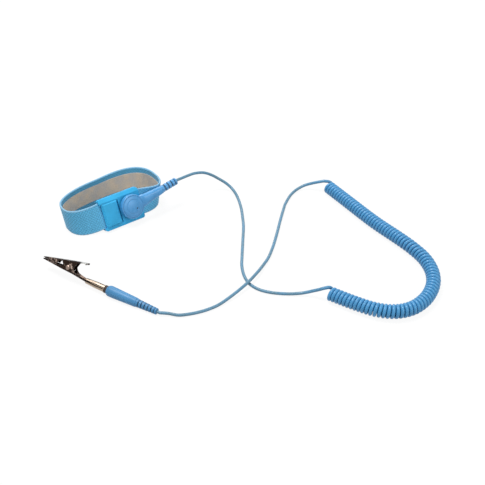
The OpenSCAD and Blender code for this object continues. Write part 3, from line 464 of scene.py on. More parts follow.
def softened(node, name, body, finish, slot, width, crease=30):
    """A copy of a solid's mesh with its loose triangles joined and its flat faces made whole,
    and a narrow round along its edges."""
    mesh = NODES[node].data.copy()
    mesh.name = name
    work = bmesh.new()
    work.from_mesh(mesh)
    bmesh.ops.remove_doubles(work, verts=work.verts, dist=2e-6)
    bmesh.ops.dissolve_limit(
        work, angle_limit=math.radians(1), verts=work.verts, edges=work.edges)
    work.to_mesh(mesh)
    work.free()
    mesh.polygons.foreach_set("use_smooth", np.ones(len(mesh.polygons), bool))
    mesh.set_sharp_from_angle(angle=math.radians(crease))
    piece = place(mesh, body, finish, slot, (node,))
    bevel = piece.modifiers.new("round edges", "BEVEL")
    bevel.width = width * MM
    bevel.segments = 2
    bevel.limit_method = "ANGLE"
    bevel.angle_limit = math.radians(crease)
    bevel.use_clamp_overlap = True
    bevel.harden_normals = True
    return piece


def dress(node, finish):
    """Gives a carried-over solid its finish."""
    for held in NODES[node].material_slots:
        held.material = finish


# ---- Finishes ----


class Finish:
    """A node material around one surface shader, with a short way to add and join nodes."""

    def __init__(self, name, **surface):
        self.material = bpy.data.materials.new(name)
        self.material.use_nodes = True
        self.tree = self.material.node_tree
        self.shader = self.tree.nodes["Principled BSDF"]
        for socket, value in surface.items():
            self.set(self.shader.inputs[socket.replace("_", " ")], value)

    def set(self, socket, value):
        if isinstance(value, bpy.types.NodeSocket):
            self.tree.links.new(value, socket)
        elif hasattr(value, "__len__") and len(value) == 3 and socket.type == "RGBA":
            socket.default_value = (*value, 1)
        else:
            socket.default_value = value

    def node(self, kind, out=0, settings=None, **inputs):
        made = self.tree.nodes.new(kind)
        for key, value in (settings or {}).items():
            setattr(made, key, value)
        for key, value in inputs.items():
            index = int(key[1:]) if key[0] == "i" and key[1:].isdigit() else key.replace("_", " ")
            self.set(made.inputs[index], value)
        return made.outputs[out]

    def coordinates(self, kind="Object"):
        return self.node("ShaderNodeTexCoord", kind)

    def noise(self, scale, detail=2, roughness=0.5, where=None):
        return self.node(
            "ShaderNodeTexNoise", Vector=where or self.coordinates(), Scale=scale,
            Detail=detail, Roughness=roughness)

    def mapped(self, where, scale, turn=(0, 0, 0)):
        return self.node("ShaderNodeMapping", Vector=where, Rotation=turn, Scale=scale)

    def attribute(self, name):
        return self.node("ShaderNodeAttribute", "Fac", {"attribute_name": name})

    def math(self, operation, a, b=0.0):
        return self.node("ShaderNodeMath", settings={"operation": operation}, i0=a, i1=b)

    def zigzag(self, value, period):
        """0 at each whole period of a value, and 1 half way between."""
        return self.math("MULTIPLY", self.math("PINGPONG", value, period / 2), 2 / period)

    def near(self, spot, reach):
        """1 at a spot of the object, in metres, and 0 from its reach on, with a ragged edge."""
        away = self.node(
            "ShaderNodeVectorMath", 1, {"operation": "DISTANCE"}, i0=self.coordinates(), i1=spot)
        ragged = self.math("ADD", away, self.math("MULTIPLY", self.noise(900, 3), 0.0012))
        return self.span(ragged, reach + 0.0006, 0.6 * reach + 0.0006)

    def blend(self, share, a, b):
        return self.node(
            "ShaderNodeMix", 2, {"data_type": "RGBA"}, i0=share, i6=a, i7=b)

    def span(self, value, low, high, start=0.0, stop=1.0):
        """Maps a value from one span to another, held at both ends."""
        return self.node(
            "ShaderNodeMapRange", Value=value, From_Min=low, From_Max=high, To_Min=start,
            To_Max=stop)

    def bump(self, height, distance, strength=1.0, below=None):
        extra = {"Normal": below} if below is not None else {}
        return self.node(
            "ShaderNodeBump", Height=height, Distance=distance * MM, Strength=strength, **extra)

    def finish(self, **surface):
        for socket, value in surface.items():
            self.set(self.shader.inputs[socket.replace("_", " ")], value)
        return self.material


def shade(colour, factor):
    return tuple(min(1.0, c * factor) for c in colour)


def woven_finish(name, colour, wale, stitch, tall, depth):
    """Woven elastic: dark diamonds between crossing threads, fine yarn over them, pale scalloped
    selvedges on the outside that are partly the strap's own edge and partly painted highlight, and a
    slow drift of the colour. The inner face is darkened with painted shade. The map is in millimetres."""
    f = Finish(name, Roughness=0.86, Sheen_Weight=0.25, Sheen_Roughness=0.5)
    where = f.node("ShaderNodeUVMap")
    split = f.node("ShaderNodeSeparateXYZ", Vector=where)
    along, across = split, split.node.outputs[1]
    sides = f.math("ADD", f.zigzag(along, stitch), f.zigzag(across, wale))
    cell = f.math("ABSOLUTE", f.math("SUBTRACT", sides, 1.0))
    yarn = f.noise(1.0, 3, 0.6, f.mapped(where, (2.0, 7.0, 1)))
    patchy = f.span(f.noise(55, 3), 0.35, 0.65, 0.45, 1)
    dark = f.math("MULTIPLY", f.span(cell, 0.3, 0.8), patchy)
    drift = f.span(f.noise(60, 3), 0.3, 0.7)
    base = f.blend(drift, shade(colour, 0.92), shade(colour, 1.1))
    lit = f.blend(f.math("MULTIPLY", dark, 0.7), base, shade(colour, 0.3))
    speck = f.blend(f.span(yarn, 0.55, 0.75, 0, 0.3), lit, shade(colour, 2.0))
    edge = f.math("ABSOLUTE", f.math("SUBTRACT", across, tall / 2))
    scallop = f.math("ADD", edge, f.math("MULTIPLY", f.zigzag(along, 0.7 * stitch), 0.25))
    inside = f.attribute("inside")
    # Pale scalloped selvedge band on the outer face: partly the strap's own edge, partly painted highlight
    selvedge_and_highlight = f.math("MULTIPLY", f.span(scallop, tall / 2 - HEM, tall / 2 - 0.1, 0, 0.75),
                 f.math("SUBTRACT", 1.0, inside))
    tone = f.blend(selvedge_and_highlight, speck, tuple(0.6 * c + 0.2 for c in colour))
    # Painted shade on the inner face
    tone = f.blend(f.math("MULTIPLY", inside, 0.45), tone, shade(colour, 0.45))
    height = f.math("ADD", f.math("MULTIPLY", cell, -0.6), f.math("MULTIPLY", yarn, 0.6))
    return f.finish(Base_Color=tone, Normal=f.bump(height, depth, 0.9))


def lining_finish(colour):
    """Conductive knit: pale and dark yarn mixed at random in short stitches, with warm and cool
    patches. The map is in millimetres."""
    f = Finish("conductive knit", Roughness=0.8, Sheen_Weight=0.2)
    where = f.node("ShaderNodeUVMap")
    grain = f.mapped(where, (1.1, 2.2, 1))
    fleck = f.noise(1.0, 4, 0.7, grain)
    cell = f.node("ShaderNodeTexVoronoi", Vector=grain, Scale=1.3, Randomness=0.6)
    warm, cool = (colour[0] * 1.1, colour[1], colour[2] * 0.86), shade(colour, 0.9)
    base = f.blend(f.span(f.noise(120, 3), 0.4, 0.6), warm, cool)
    mixed = f.blend(f.span(fleck, 0.5, 0.34, 0, 0.8), base, shade(colour, 0.45))
    bright = f.blend(f.span(cell, 0.0, 0.28, 0.4, 0), mixed, shade(colour, 1.5))
    return f.finish(Base_Color=bright, Normal=f.bump(f.math("ADD", fleck, cell), 0.12, 0.8))


def moulded_finish(name, colour, rough=0.38, grain=900, depth=0.012, gloss=0.45, wear_and_painted_light=True):
    """Moulded plastic: a faint drift in colour and a fine mould grain. On finely meshed pieces
    the edges are handled paler, and the hollows and marked grooves are darkened with painted shade."""
    f = Finish(name, Specular_IOR_Level=gloss)
    drift = f.span(f.noise(90, 3), 0.35, 0.65)
    fine = f.noise(grain, 4, 0.6)
    tone = f.blend(drift, shade(colour, 0.93), shade(colour, 1.07))
    if wear_and_painted_light:
        point = f.node("ShaderNodeNewGeometry", "Pointiness")
        pale = tuple(0.5 * c + 0.35 for c in colour)
        tone = f.blend(f.span(point, 0.52, 0.64, 0, 0.25), tone, pale)
        # Painted shade in the hollows and the marked grooves
        hollow_shade = f.span(point, 0.49, 0.42, 0, 0.6)
        hollow_shade = f.math("MAXIMUM", hollow_shade, f.math("MULTIPLY", f.attribute("groove"), 0.95))
        tone = f.blend(hollow_shade, tone, shade(colour, 0.2))
    smudge = f.span(f.noise(160, 3, 0.65), 0.3, 0.7, rough - 0.06, rough + 0.08)
    return f.finish(Base_Color=tone, Roughness=smudge, Normal=f.bump(fine, depth, 0.6))


def cord_finish(lead, coil):
    """Extruded jacket: the map's first axis counts metres along the cord, and its second axis
    is 1 on the curls and 0 on the leads."""
    f = Finish("cord jacket", Specular_IOR_Level=0.4)
    split = f.node("ShaderNodeSeparateXYZ", Vector=f.node("ShaderNodeUVMap"))
    curly = split.node.outputs[1]
    base = f.blend(curly, lead, coil)
    drift = f.span(f.noise(120, 3), 0.35, 0.65, 0, 0.22)
    tone = f.blend(drift, base, shade(coil, 1.2))
    rough = f.span(f.noise(400, 3, 0.6), 0.3, 0.7, 0.24, 0.38)
    return f.finish(Base_Color=tone, Roughness=rough, Normal=f.bump(f.noise(1800, 2), 0.008, 0.5))


def metal_finish(name, colour, rough=0.25, tarnish=0.15, scratch=0.01):
    """Plated or plain metal: cloudy roughness, faint tarnish and fine crossed scratches."""
    f = Finish(name, Metallic=1.0)
    cloud = f.noise(260, 4, 0.6)
    lines = f.mapped(f.coordinates(), (300, 4200, 4200), (0.4, 0.2, 0.7))
    scratches = f.noise(1.0, where=lines)
    base = f.blend(f.span(cloud, 0.35, 0.7, 0, tarnish), colour, shade(colour, 0.4))
    return f.finish(
        Base_Color=base, Roughness=f.span(cloud, 0.3, 0.7, rough - 0.08, rough + 0.12),
        Normal=f.bump(scratches, scratch, 0.5))


def jaw_finish(name, dark, wear_and_painted_light, highlight_colour):
    """Dark bronzed sheet steel: nearly black brown, with patches of wear at the bite and the ears,
    a painted highlight along the shank and another on the lever's top. Spots are in clip millimetres."""
    f = Finish(name, Metallic=0.4, Specular_IOR_Level=0.2)
    cloud = f.span(f.noise(700, 4, 0.7), 0.45, 0.62)
    wear_and_highlight_share = f.span(f.noise(420, 4, 0.65), 0.62, 0.72, 0, 0.5)
    # Patches of wear at the bite and the ears; the last three spots, along the shank, are painted highlight
    for x, across, up, reach, least in (
            (47.5, 2.2, 3.9, 3.2, 0), (44, 2.6, 4.6, 2.2, 0), (31, 3, 6.6, 1.5, 0),
            (29.2, 3, 5.2, 1.5, 0), (27.5, 3, 3.2, 1.3, 0.2), (25, 2, 1.6, 1.2, 0),
            (25.5, -2.2, 2.4, 2.0, 0.7), (22, -1.9, 1.4, 2.4, 0.9), (18.5, -1.6, 1.0, 2.4, 0.9)):
        spot = f.near(tuple(clip_to_row([x, across, up])), reach * MM)
        wear_and_highlight_share = f.math("MAXIMUM", wear_and_highlight_share, f.math("MULTIPLY", spot, f.math("MAXIMUM", cloud, least)))
    # A painted highlight on the lever's top, in the plated colour
    lever_highlight_spot = f.math("MAXIMUM", *(
        f.near(tuple(clip_to_row([x, across, 11.2])), 2.6 * MM) for x, across in ((23, 0), (21.5, 1))))
    tone = f.blend(lever_highlight_spot, f.blend(wear_and_highlight_share, dark, wear_and_painted_light), highlight_colour)
    rough = f.span(f.noise(500, 3), 0.3, 0.7, 0.26, 0.48)
    return f.finish(Base_Color=tone, Roughness=rough, Normal=f.bump(f.noise(1500, 3), 0.012, 0.5))


def barrel_finish(name, colour):
    """Drawn and plated sleeve: streaks along it, dark where the plating has gone, with painted shade
    at the seam and along its top. The map's first axis is the way round, from 0 to 1, and its
    second is the place along."""
    f = Finish(name, Metallic=0.9)
    where = f.node("ShaderNodeUVMap")
    streak = f.noise(1.0, 3, 0.6, f.mapped(where, (13, 8, 1)))
    around = f.node("ShaderNodeSeparateXYZ", Vector=where)
    # Painted shade at the seam and along the top
    seam_shade = f.span(f.zigzag(around, 1.0), 0.09, 0.05)
    top_shade = f.span(f.math("ABSOLUTE", f.math("SUBTRACT", around, BARREL_DARK)), 0.05, 0.02)
    wear_and_painted_light = f.math("MAXIMUM", f.math("MAXIMUM", seam_shade, top_shade), f.span(streak, 0.5, 0.75, 0, 0.8))
    base = f.blend(wear_and_painted_light, colour, shade(colour, 0.05))
    rough = f.span(f.noise(500, 3), 0.3, 0.7, 0.32, 0.5)
    return f.finish(Base_Color=base, Roughness=rough, Normal=f.bump(streak, 0.02, 0.5))


def finish_of(key):
    """Makes a shared finish once, and gives it again by name."""
    c = colours()
    makers = {
        "clasp plastic": lambda n: moulded_finish(n, c.clasp, 0.45, gloss=0.2, wear_and_painted_light=False),
        "connector plastic": lambda n: moulded_finish(n, c.connector, 0.3, 700, 0.02, 0.6),
        "grip plastic": lambda n: moulded_finish(n, c.grip, 0.4, 600, 0.02, 0.35),
        "brass": lambda n: metal_finish(n, c.brass, 0.28, 0.3),
        "nickel plate": lambda n: metal_finish(n, c.nickel, 0.22),
        "brushed steel": lambda n: metal_finish(n, shade(c.nickel, 0.95), 0.36, 0.1, 0.03),
        "resistor lacquer": lambda n: moulded_finish(n, (0.62, 0.47, 0.26), 0.4),
        "bronzed sheet steel": lambda n: jaw_finish(n, c.jaws, c.jaw_wear_and_highlight, c.nickel),
        "bronzed rivet": lambda n: metal_finish(n, shade(c.jaw_wear_and_highlight, 0.5), 0.35, 0.4),
        "drawn sleeve": lambda n: barrel_finish(n, c.brass),
    }
    return bpy.data.materials.get(key) or makers[key](key)


# ---- Pieces ----


def facing(where, aim):
    """The turn that points a lamp or the camera from its place to another."""
    return (Vector(aim) - Vector(where)).to_track_quat("-Z", "Y").to_euler()


class WRISTSTRAP_OT_stage(bpy.types.Operator):
    """Lay the floor, set the lamps and point the camera"""

    bl_idname = "wrist_strap.stage"
    bl_label = "Stage"

    def execute(self, context):
        scene = context.scene
        scene.view_settings.view_transform = "Standard"
        self.floor(scene)
        self.world(scene)
        for name, where, size, watts in LAMPS:
            self.lamp(scene, name, where, size, watts)
        camera = bpy.data.objects.new("camera", bpy.data.cameras.new("camera"))
        camera.data.lens = VIEW_LENS_MM
        camera.data.sensor_width = 36
        camera.data.clip_start = 0.01
        camera.location = VIEW_FROM
        camera.rotation_euler = facing(VIEW_FROM, VIEW_AT)
        scene.collection.objects.link(camera)
        scene.camera = camera
        return {"FINISHED"}

    def floor(self, scene):
        """A flat square that shows white to the camera and still takes soft shadows."""
        mesh = bpy.data.meshes.new("floor")
        half, z = FLOOR_HALF, FLOOR_Z
        corners = [(-half, -half, z), (half, -half, z), (half, half, z), (-half, half, z)]
        mesh.from_pydata(corners, [], [(0, 1, 2, 3)])
        floor = bpy.data.objects.new("floor", mesh)
        scene.collection.objects.link(floor)
        f = Finish("pale floor", Roughness=0.9)
        rays = f.node("ShaderNodeLightPath", "Is Camera Ray")
        glossy = rays.node.outputs["Is Glossy Ray"]
        share = f.math("MULTIPLY", f.math("MAXIMUM", rays, glossy), 0.86)
        white = f.node("ShaderNodeEmission", Color=(1, 1, 1), Strength=1.06)
        tint = f.noise(8, 2)
        f.set(f.shader.inputs["Base Color"], f.blend(tint, (0.58, 0.58, 0.58), (0.62, 0.62, 0.62)))
        mixed = f.node("ShaderNodeMixShader", i0=share, i1=f.shader.outputs[0], i2=white)
        f.tree.links.new(mixed, f.tree.nodes["Material Output"].inputs[0])
        mesh.materials.append(f.material)

    def world(self, scene):
        """A plain pale surround, white to the camera and in reflections."""
        world = bpy.data.worlds.new("pale surround")
        scene.world = world
        world.use_nodes = True
        tree = world.node_tree
        back = tree.nodes["Background"]
        rays = tree.nodes.new("ShaderNodeLightPath")
        either = tree.nodes.new("ShaderNodeMath")
        either.operation = "MAXIMUM"
        tree.links.new(rays.outputs["Is Camera Ray"], either.inputs[0])
        tree.links.new(rays.outputs["Is Glossy Ray"], either.inputs[1])
        level = tree.nodes.new("ShaderNodeMapRange")
        level.inputs["To Min"].default_value = 0.38
        level.inputs["To Max"].default_value = 1.0
        tree.links.new(either.outputs[0], level.inputs["Value"])
        tree.links.new(level.outputs[0], back.inputs["Strength"])
        back.inputs["Color"].default_value = (1, 1, 1, 1)

    def lamp(self, scene, name, where, size, watts):
        light = bpy.data.lights.new(name, "AREA")
        light.shape = "SQUARE"
        light.size = size
        light.energy = watts
        lamp = bpy.data.objects.new(name, light)
        lamp.location = where
        lamp.rotation_euler = facing(where, LAMP_AIM)
        scene.collection.objects.link(lamp)


def band_lines(step):
    """The strap's lower and upper outer edges at even steps, with the way inwards through the
    strap. The lower edge is an oval |x/a|^n + |y/b|^n = 1 that tucks in a little below the rim,
    the upper one is that oval skewed, and the ends of both run into the leaning clasp."""
    lay = clasp_layout()
    f = np.linspace(0, 1, 3001)
    share = np.maximum(0, 1 - 8 * np.minimum(f, 1 - f)) ** 2
    fixed = np.array([[FIXED_END_X], [BASE_LEN / 2 - 0.2]])
    free = np.array([[-BASE_LEN / 2 + 0.2], [FREE_END_X]])
    edges = []
    for k in (0, 1):
        a, v, high = lay["long"][k], lay["strap_v"][k], k * sizes().strap_width / MM
        deep = lay["deep"] - (1 - k) * FOOT_TUCK
        middle = lay["loop_y"] - (1 - k) * FOOT_TUCK * lay["share"]
        start = math.acos((BASE_LEN / 2 / a) ** (LOOP_POWER / 2))
        t = -start + f * (math.pi + 2 * start)
        x, y = oval(t)
        fuller = RIM_FULLER * np.maximum(0, y) * np.maximum(0, -x)
        depth = lay["rim_depth"](t) + fuller if k else deep * y
        held = clasp_to_row([0, lay["strap_y"], v])[2] / MM
        loop = np.stack([a * x, middle + depth, high + (held - high) * share], -1)
        ends = [
            clasp_to_row(np.concatenate(
                [x, np.full_like(x, lay["strap_y"]), np.full_like(x, v)], 1))
            for x in (fixed, free)]
        edges.append(np.concatenate([ends[0], MM * loop, ends[1]]))
    share = np.concatenate([[1, 1], share, [1, 1]])
    s = lengths_along((edges[0] + edges[1]) / 2)
    at = np.linspace(0, s[-1], max(2, round(s[-1] / step)) + 1)
    low, top = (np.stack([np.interp(at, s, e[:, n]) for n in range(3)], -1) for e in edges)
    share = np.interp(at, s, share)[:, None]
    across = unit(top - low)
    normal = unit(np.cross(across, unit(np.gradient(low + top, axis=0))))
    level = unit(normal * [1, 1, 0])
    inward = share * normal + (1 - share) * level / np.sum(level * normal, -1, keepdims=True)
    return at, low, top, across, inward


def ribbon_profile(start, stop, depth, thickness, count):
    """A flat strip's outline with half-round edges, as rows of (up, depth, face): face is -1 on
    the outer side, 1 on the inner side and 0 at the edges. All in metres."""
    r = thickness / 2
    flat = np.linspace(start + r, stop - r, count)
    arc = np.linspace(0, math.pi, 7)[1:-1]
    outer = np.stack([flat, np.full(count, depth), np.full(count, -1.0)], -1)
    upper = np.stack(
        [stop - r + r * np.sin(arc), depth + r - r * np.cos(arc), np.zeros(5)], -1)
    inner = np.stack([flat[::-1], np.full(count, depth + thickness), np.ones(count)], -1)
    lower = np.stack(
        [start + r - r * np.sin(arc), depth + r + r * np.cos(arc), np.zeros(5)], -1)
    return np.concatenate([outer, upper, inner, lower])


def ribbon_mesh(name, profile, lines, relief):
    """A strip carried around the loop: each point is the lower edge plus its height up the strap
    plus its depth inwards, less the relief(along, up) of the weave on both faces."""
    at, low, top, across, inward = lines
    up, depth, face = profile[:, 0], profile[:, 1], profile[:, 2]
    full = np.linalg.norm(top - low, axis=1)[:, None] / sizes().strap_width
    sunk = relief(at[:, None], up[None, :]) * -face[None, :]
    grid = (low[:, None] + across[:, None] * (up[None, :] * full)[..., None]
            + inward[:, None] * (depth[None, :] + sunk)[..., None])
    uv_up = np.append(up, up[0])
    uv = np.stack(np.broadcast_arrays(at[:, None] / MM, uv_up[None, :] / MM), -1)
    mesh = skin_mesh(name, grid, uv)
    # Marks the inner face, which its finish darkens with painted shade
    mark(mesh, "inside", np.tile(np.clip(face, 0, 1), len(at)))
    return mesh


class WRISTSTRAP_OT_band(bpy.types.Operator):
    """Weave the elastic strap and its conductive lining"""

    bl_idname = "wrist_strap.band"
    bl_label = "Band"

    def execute(self, context):
        s = sizes()
        wale, stitch, tall = s.weave_height, s.weave_length, s.strap_width

        def knit(along, up):
            """Small sunk diamonds, 1 + cos(along) cos(up), that flatten out at the selvedges."""
            crate = np.cos(TAU * along / stitch) * np.cos(TAU * up / wale)
            border = np.clip(np.minimum(up, tall - up) / (HEM * MM) - 0.3, 0, 1)
            return WEAVE_DEPTH * MM * (1 + crate) * border

        lines = band_lines(stitch / 6)
        strap = ribbon_profile(0, tall, 0, s.strap_thickness, 61)
        weave = woven_finish(
            "elastic weave", colours().strap, wale / MM, stitch / MM, tall / MM, 0.09)
        place(ribbon_mesh("woven_strap", strap, lines, knit), "wristband", weave,
              "strap_fabric", ("elastic_band",))

        def flecks(along, up):
            """Short rounded stitches, half a step apart from row to row."""
            row = np.floor(up / (STITCH_ROW * MM))
            swell = 0.5 - 0.5 * np.cos(TAU * (along / (STITCH_LEN * MM) + row / 2))
            return STITCH_DEPTH * MM * swell

        border = s.lining_border
        lining = ribbon_profile(
            border, tall - border, s.strap_thickness - LINING_SUNK * MM, s.lining_thickness, 31)
        place(ribbon_mesh("woven_lining", lining, lines, flecks), "wristband",
              lining_finish(colours().lining), "lining_fabric", ("conductive_lining",))
        return {"FINISHED"}


class WRISTSTRAP_OT_clasp(bpy.types.Operator):
    """Mould the clasp and its flap, and fit the pin, skin plate and stud"""

    bl_idname = "wrist_strap.clasp"
    bl_label = "Clasp"

    def execute(self, context):
        plastic = finish_of("clasp plastic")
        body = softened("buckle_base", "clasp_body", "wristband", plastic, "clasp_plastic", 0.35)
        self.slot_beside_flap(body)
        softened("clamp_flap", "clasp_flap", "flap", plastic, "clasp_plastic", 0.22)
        softened("skin_plate", "contact_plate", "wristband", finish_of("brushed steel"),
                 "stainless_steel", 0.1)
        for node, finish in (
                ("flap_hinge_pin", "nickel plate"), ("snap_stud", "nickel plate"),
                ("stud_rivet", "brushed steel")):
            dress(node, finish_of(finish))
        return {"FINISHED"}

    def slot_beside_flap(self, body):
        """Cuts the narrow, deep slot between the flap's free edge and the clasp's plate."""
        low, high = FLAP_SLOT
        base_v0 = clasp_layout()["strap_v"][0] - EDGE_WALL - STRAP_ROOM
        ends = base_v0 + RAIL_H, base_v0 + SLOT_TOP
        corners = np.array([(x, y, v) for x in (low, high) for y in (-1, SLOT_DEPTH) for v in ends])
        faces = [(0, 1, 3, 2), (4, 6, 7, 5), (0, 4, 5, 1), (2, 3, 7, 6), (0, 2, 6, 4), (1, 5, 7, 3)]
        mesh = bpy.data.meshes.new("slot")
        mesh.from_pydata(clasp_to_row(corners).tolist(), [], faces)
        face_outwards(mesh)
        cutter = bpy.data.objects.new("slot", mesh)
        bpy.context.scene.collection.objects.link(cutter)
        cut = body.modifiers.new("slot", "BOOLEAN")
        cut.object = cutter
        cut.solver = "EXACT"
        body.modifiers.move(1, 0)
        body.modifiers[1].show_viewport = False
        ready = body.evaluated_get(bpy.context.evaluated_depsgraph_get())
        body.data = bpy.data.meshes.new_from_object(ready)
        body.data.name = "clasp_body"
        body.modifiers.remove(body.modifiers[0])
        body.modifiers[0].show_viewport = True
        bpy.data.objects.remove(cutter)


def ribbed(length, r0, r1, count, core, web, lips=0.35):
    """A tapered tail with ribs: the radius follows the taper on each rib and falls by the core's
    share between ribs, with round shoulders, but stays out along two webs. Gives profile and
    ripple; the ripple gives the radius, and how deep it lies between ribs from 0 to 1."""
    pitch = (length - 1) / count

    def share_at(x):
        inside = (x / pitch) % 1
        rise = np.clip(np.minimum(inside, RIB_SHARE - inside) / 0.1 + 0.5, 0, 1)
        return np.where(x > length - 1.2, 1.0, np.sin(rise * math.pi / 2))

    def ripple(place_x, t):
        taper = r0 + (r1 - r0) * place_x / length
        held = np.clip((np.abs(np.sin(t)) - web) / 0.12, 0, 1)
        share = np.maximum(share_at(place_x), 0.7 * held)
        rounding = np.minimum(place_x, length - place_x)
        edge = lips - np.sqrt(np.maximum(0, lips**2 - np.maximum(0, lips - rounding) ** 2))
        return taper * (core + (1 - core) * share) - edge, 1 - share

    x = np.linspace(0, length, 220)
    return np.stack([x, np.full_like(x, r1)], -1), ripple


class WRISTSTRAP_OT_connector(bpy.types.Operator):
    """Mould the snap connector with its cover, strain relief and inner pieces"""

    bl_idname = "wrist_strap.connector"
    bl_label = "Connector"

    def execute(self, context):
        plastic = finish_of("connector plastic")
        self.housing(plastic)
        self.cover(plastic)
        profile, ripple = ribbed(
            BOOT_LEN - RELIEF_X, NECK_T / 2, RELIEF_TIP_R, RELIEF_RIBS, 0.7, 0.96)
        relief = turned(
            "connector_relief", profile,
            lambda p: snap_to_row(p + [RELIEF_X, 0, NECK_Z]), 72, ripple, None)
        place(relief, "cord_set", plastic, "connector_plastic", ("snap_strain_relief",))
        for node, finish in (
                ("snap_socket", "nickel plate"), ("snap_spring_ring", "brass"),
                ("resistor", "resistor lacquer"), ("resistor_leads", "nickel plate")):
            dress(node, finish_of(finish))
        return {"FINISHED"}

    def housing(self, plastic):
        """A turned head and a lofted neck, fused and smoothed. The neck's sections are ovals
        |y/w|^n + |z/h|^n = 1 whose width and height follow the neck."""
        head = [
            (2.5, 5.0), (HEAD_Z0, 5.0), (HEAD_Z0, HEAD_R - 0.6), (HEAD_Z0 + 0.25, HEAD_R - 0.15),
            (HEAD_Z0 + 0.7, HEAD_R), (HEAD_Z1 - 1.0, HEAD_R), (HEAD_Z1 - 0.4, HEAD_R - 0.15),
            (HEAD_Z1 - 0.05, HEAD_R - 0.5), (HEAD_Z1, COVER_R + 0.1), (HEAD_Z1 - 1, COVER_R + 0.05),
            (HEAD_Z1 - 1, COVER_R - 1), (2.5, COVER_R - 1)]
        t = np.arange(HEAD_SIDES) * TAU / HEAD_SIDES
        ring = np.array(head + head[:1], float)
        grid = np.stack([
            ring[:, 1:] * np.cos(t), ring[:, 1:] * np.sin(t),
            np.repeat(ring[:, :1], HEAD_SIDES, 1)], -1)
        rows, cols = grid.shape[0] - 1, HEAD_SIDES
        i, k = np.meshgrid(np.arange(rows), np.arange(cols), indexing="ij")
        nxt, down = (k + 1) % cols, (i + 1) % rows
        quads = np.stack(
            [i * cols + k, down * cols + k, down * cols + nxt, i * cols + nxt], -1).reshape(-1, 4)
        shell = bpy.data.meshes.new("connector_housing")
        points = snap_to_row(grid[:-1].reshape(-1, 3))
        x = np.array([8.2, 9.4, 10.6, 12.0, 14.0, 17.0, 20.0, 24.0, 27.0, RELIEF_X])
        wide = np.interp(x, [8.2, 11.6, RELIEF_X], [NECK_W + 1.6, NECK_W, NECK_END_W]) / 2
        low = np.full_like(x, HEAD_Z0)
        high = np.interp(x, [8.2, 10.6, 13.5, RELIEF_X], [5.6, 6.7, 7.1, HEAD_Z0 + NECK_T])
        round_y, round_z = oval(t, NECK_POWER)
        side = wide[:, None] * round_y
        lift = (low + high)[:, None] / 2 + (high - low)[:, None] / 2 * round_z
        neck = snap_to_row(np.stack([np.repeat(x[:, None], HEAD_SIDES, 1), side, lift], -1))
        body = skin_mesh("neck", neck)
        first = len(points)
        faces = quads.tolist() + [
            [first + v for v in face.vertices] for face in body.polygons]
        shell.from_pydata(
            np.concatenate([points, neck.reshape(-1, 3)]).tolist(), [], faces)
        bpy.data.meshes.remove(body)
        face_outwards(shell)
        piece = place(shell, "cord_set", plastic, "connector_plastic", ("snap_housing",))
        fuse = piece.modifiers.new("fuse", "REMESH")
        fuse.mode = "VOXEL"
        fuse.voxel_size = FUSE_STEP * MM
        fuse.use_smooth_shade = True
        smooth = piece.modifiers.new("soften", "SMOOTH")
        smooth.factor = 0.5
        smooth.iterations = 6

    def cover(self, plastic):
        """A shallow dome over the head, z = top - R + sqrt(R^2 - r^2), with a ring groove and a
        moulding dimple pressed in."""
        r = np.linspace(COVER_R - 0.45, 0.2, 60)
        curve = (COVER_R**2 + DOME_H**2) / (2 * DOME_H)
        dome = HEAD_Z1 + DOME_H - curve + np.sqrt(curve**2 - r**2)
        dome -= RING_DEPTH * np.exp(-((r - RING_R) / RING_W) ** 2)
        wall = [(HEAD_Z1 - 0.98, COVER_R - 1), (HEAD_Z1 - 0.98, COVER_R - 0.02),
                (HEAD_Z1 - 0.1, COVER_R - 0.02), (HEAD_Z1 + 0.05, COVER_R - 0.12)]
        roof = [(HEAD_Z1 - 0.2, 0.2), (HEAD_Z1 - 0.2, COVER_R - 1)]
        profile = roof + wall + list(zip(dome, r))
        mesh = turned("connector_cover", profile, lambda p: p, HEAD_SIDES, None, None, upright=True)
        points = np.empty(len(mesh.vertices) * 3)
        mesh.vertices.foreach_get("co", points)
        points = points.reshape(-1, 3)
        away = np.hypot(points[:, 0] - DIMPLE_SPOT[0], points[:, 1] - DIMPLE_SPOT[1])
        pressed = DIMPLE_DEPTH * np.clip(1.4 - away / DIMPLE_R, 0, 1)
        pressed = np.where(points[:, 2] > HEAD_Z1, pressed, 0)
        points[:, 2] -= pressed
        # The dimple is marked as a groove, for painted shade in the finish
        mark(mesh, "groove", np.clip(pressed / 0.5, 0, 1))
        mesh.vertices.foreach_set("co", snap_to_row(points).ravel())
        place(mesh, "cord_set", plastic, "connector_plastic", ("snap_cover",))


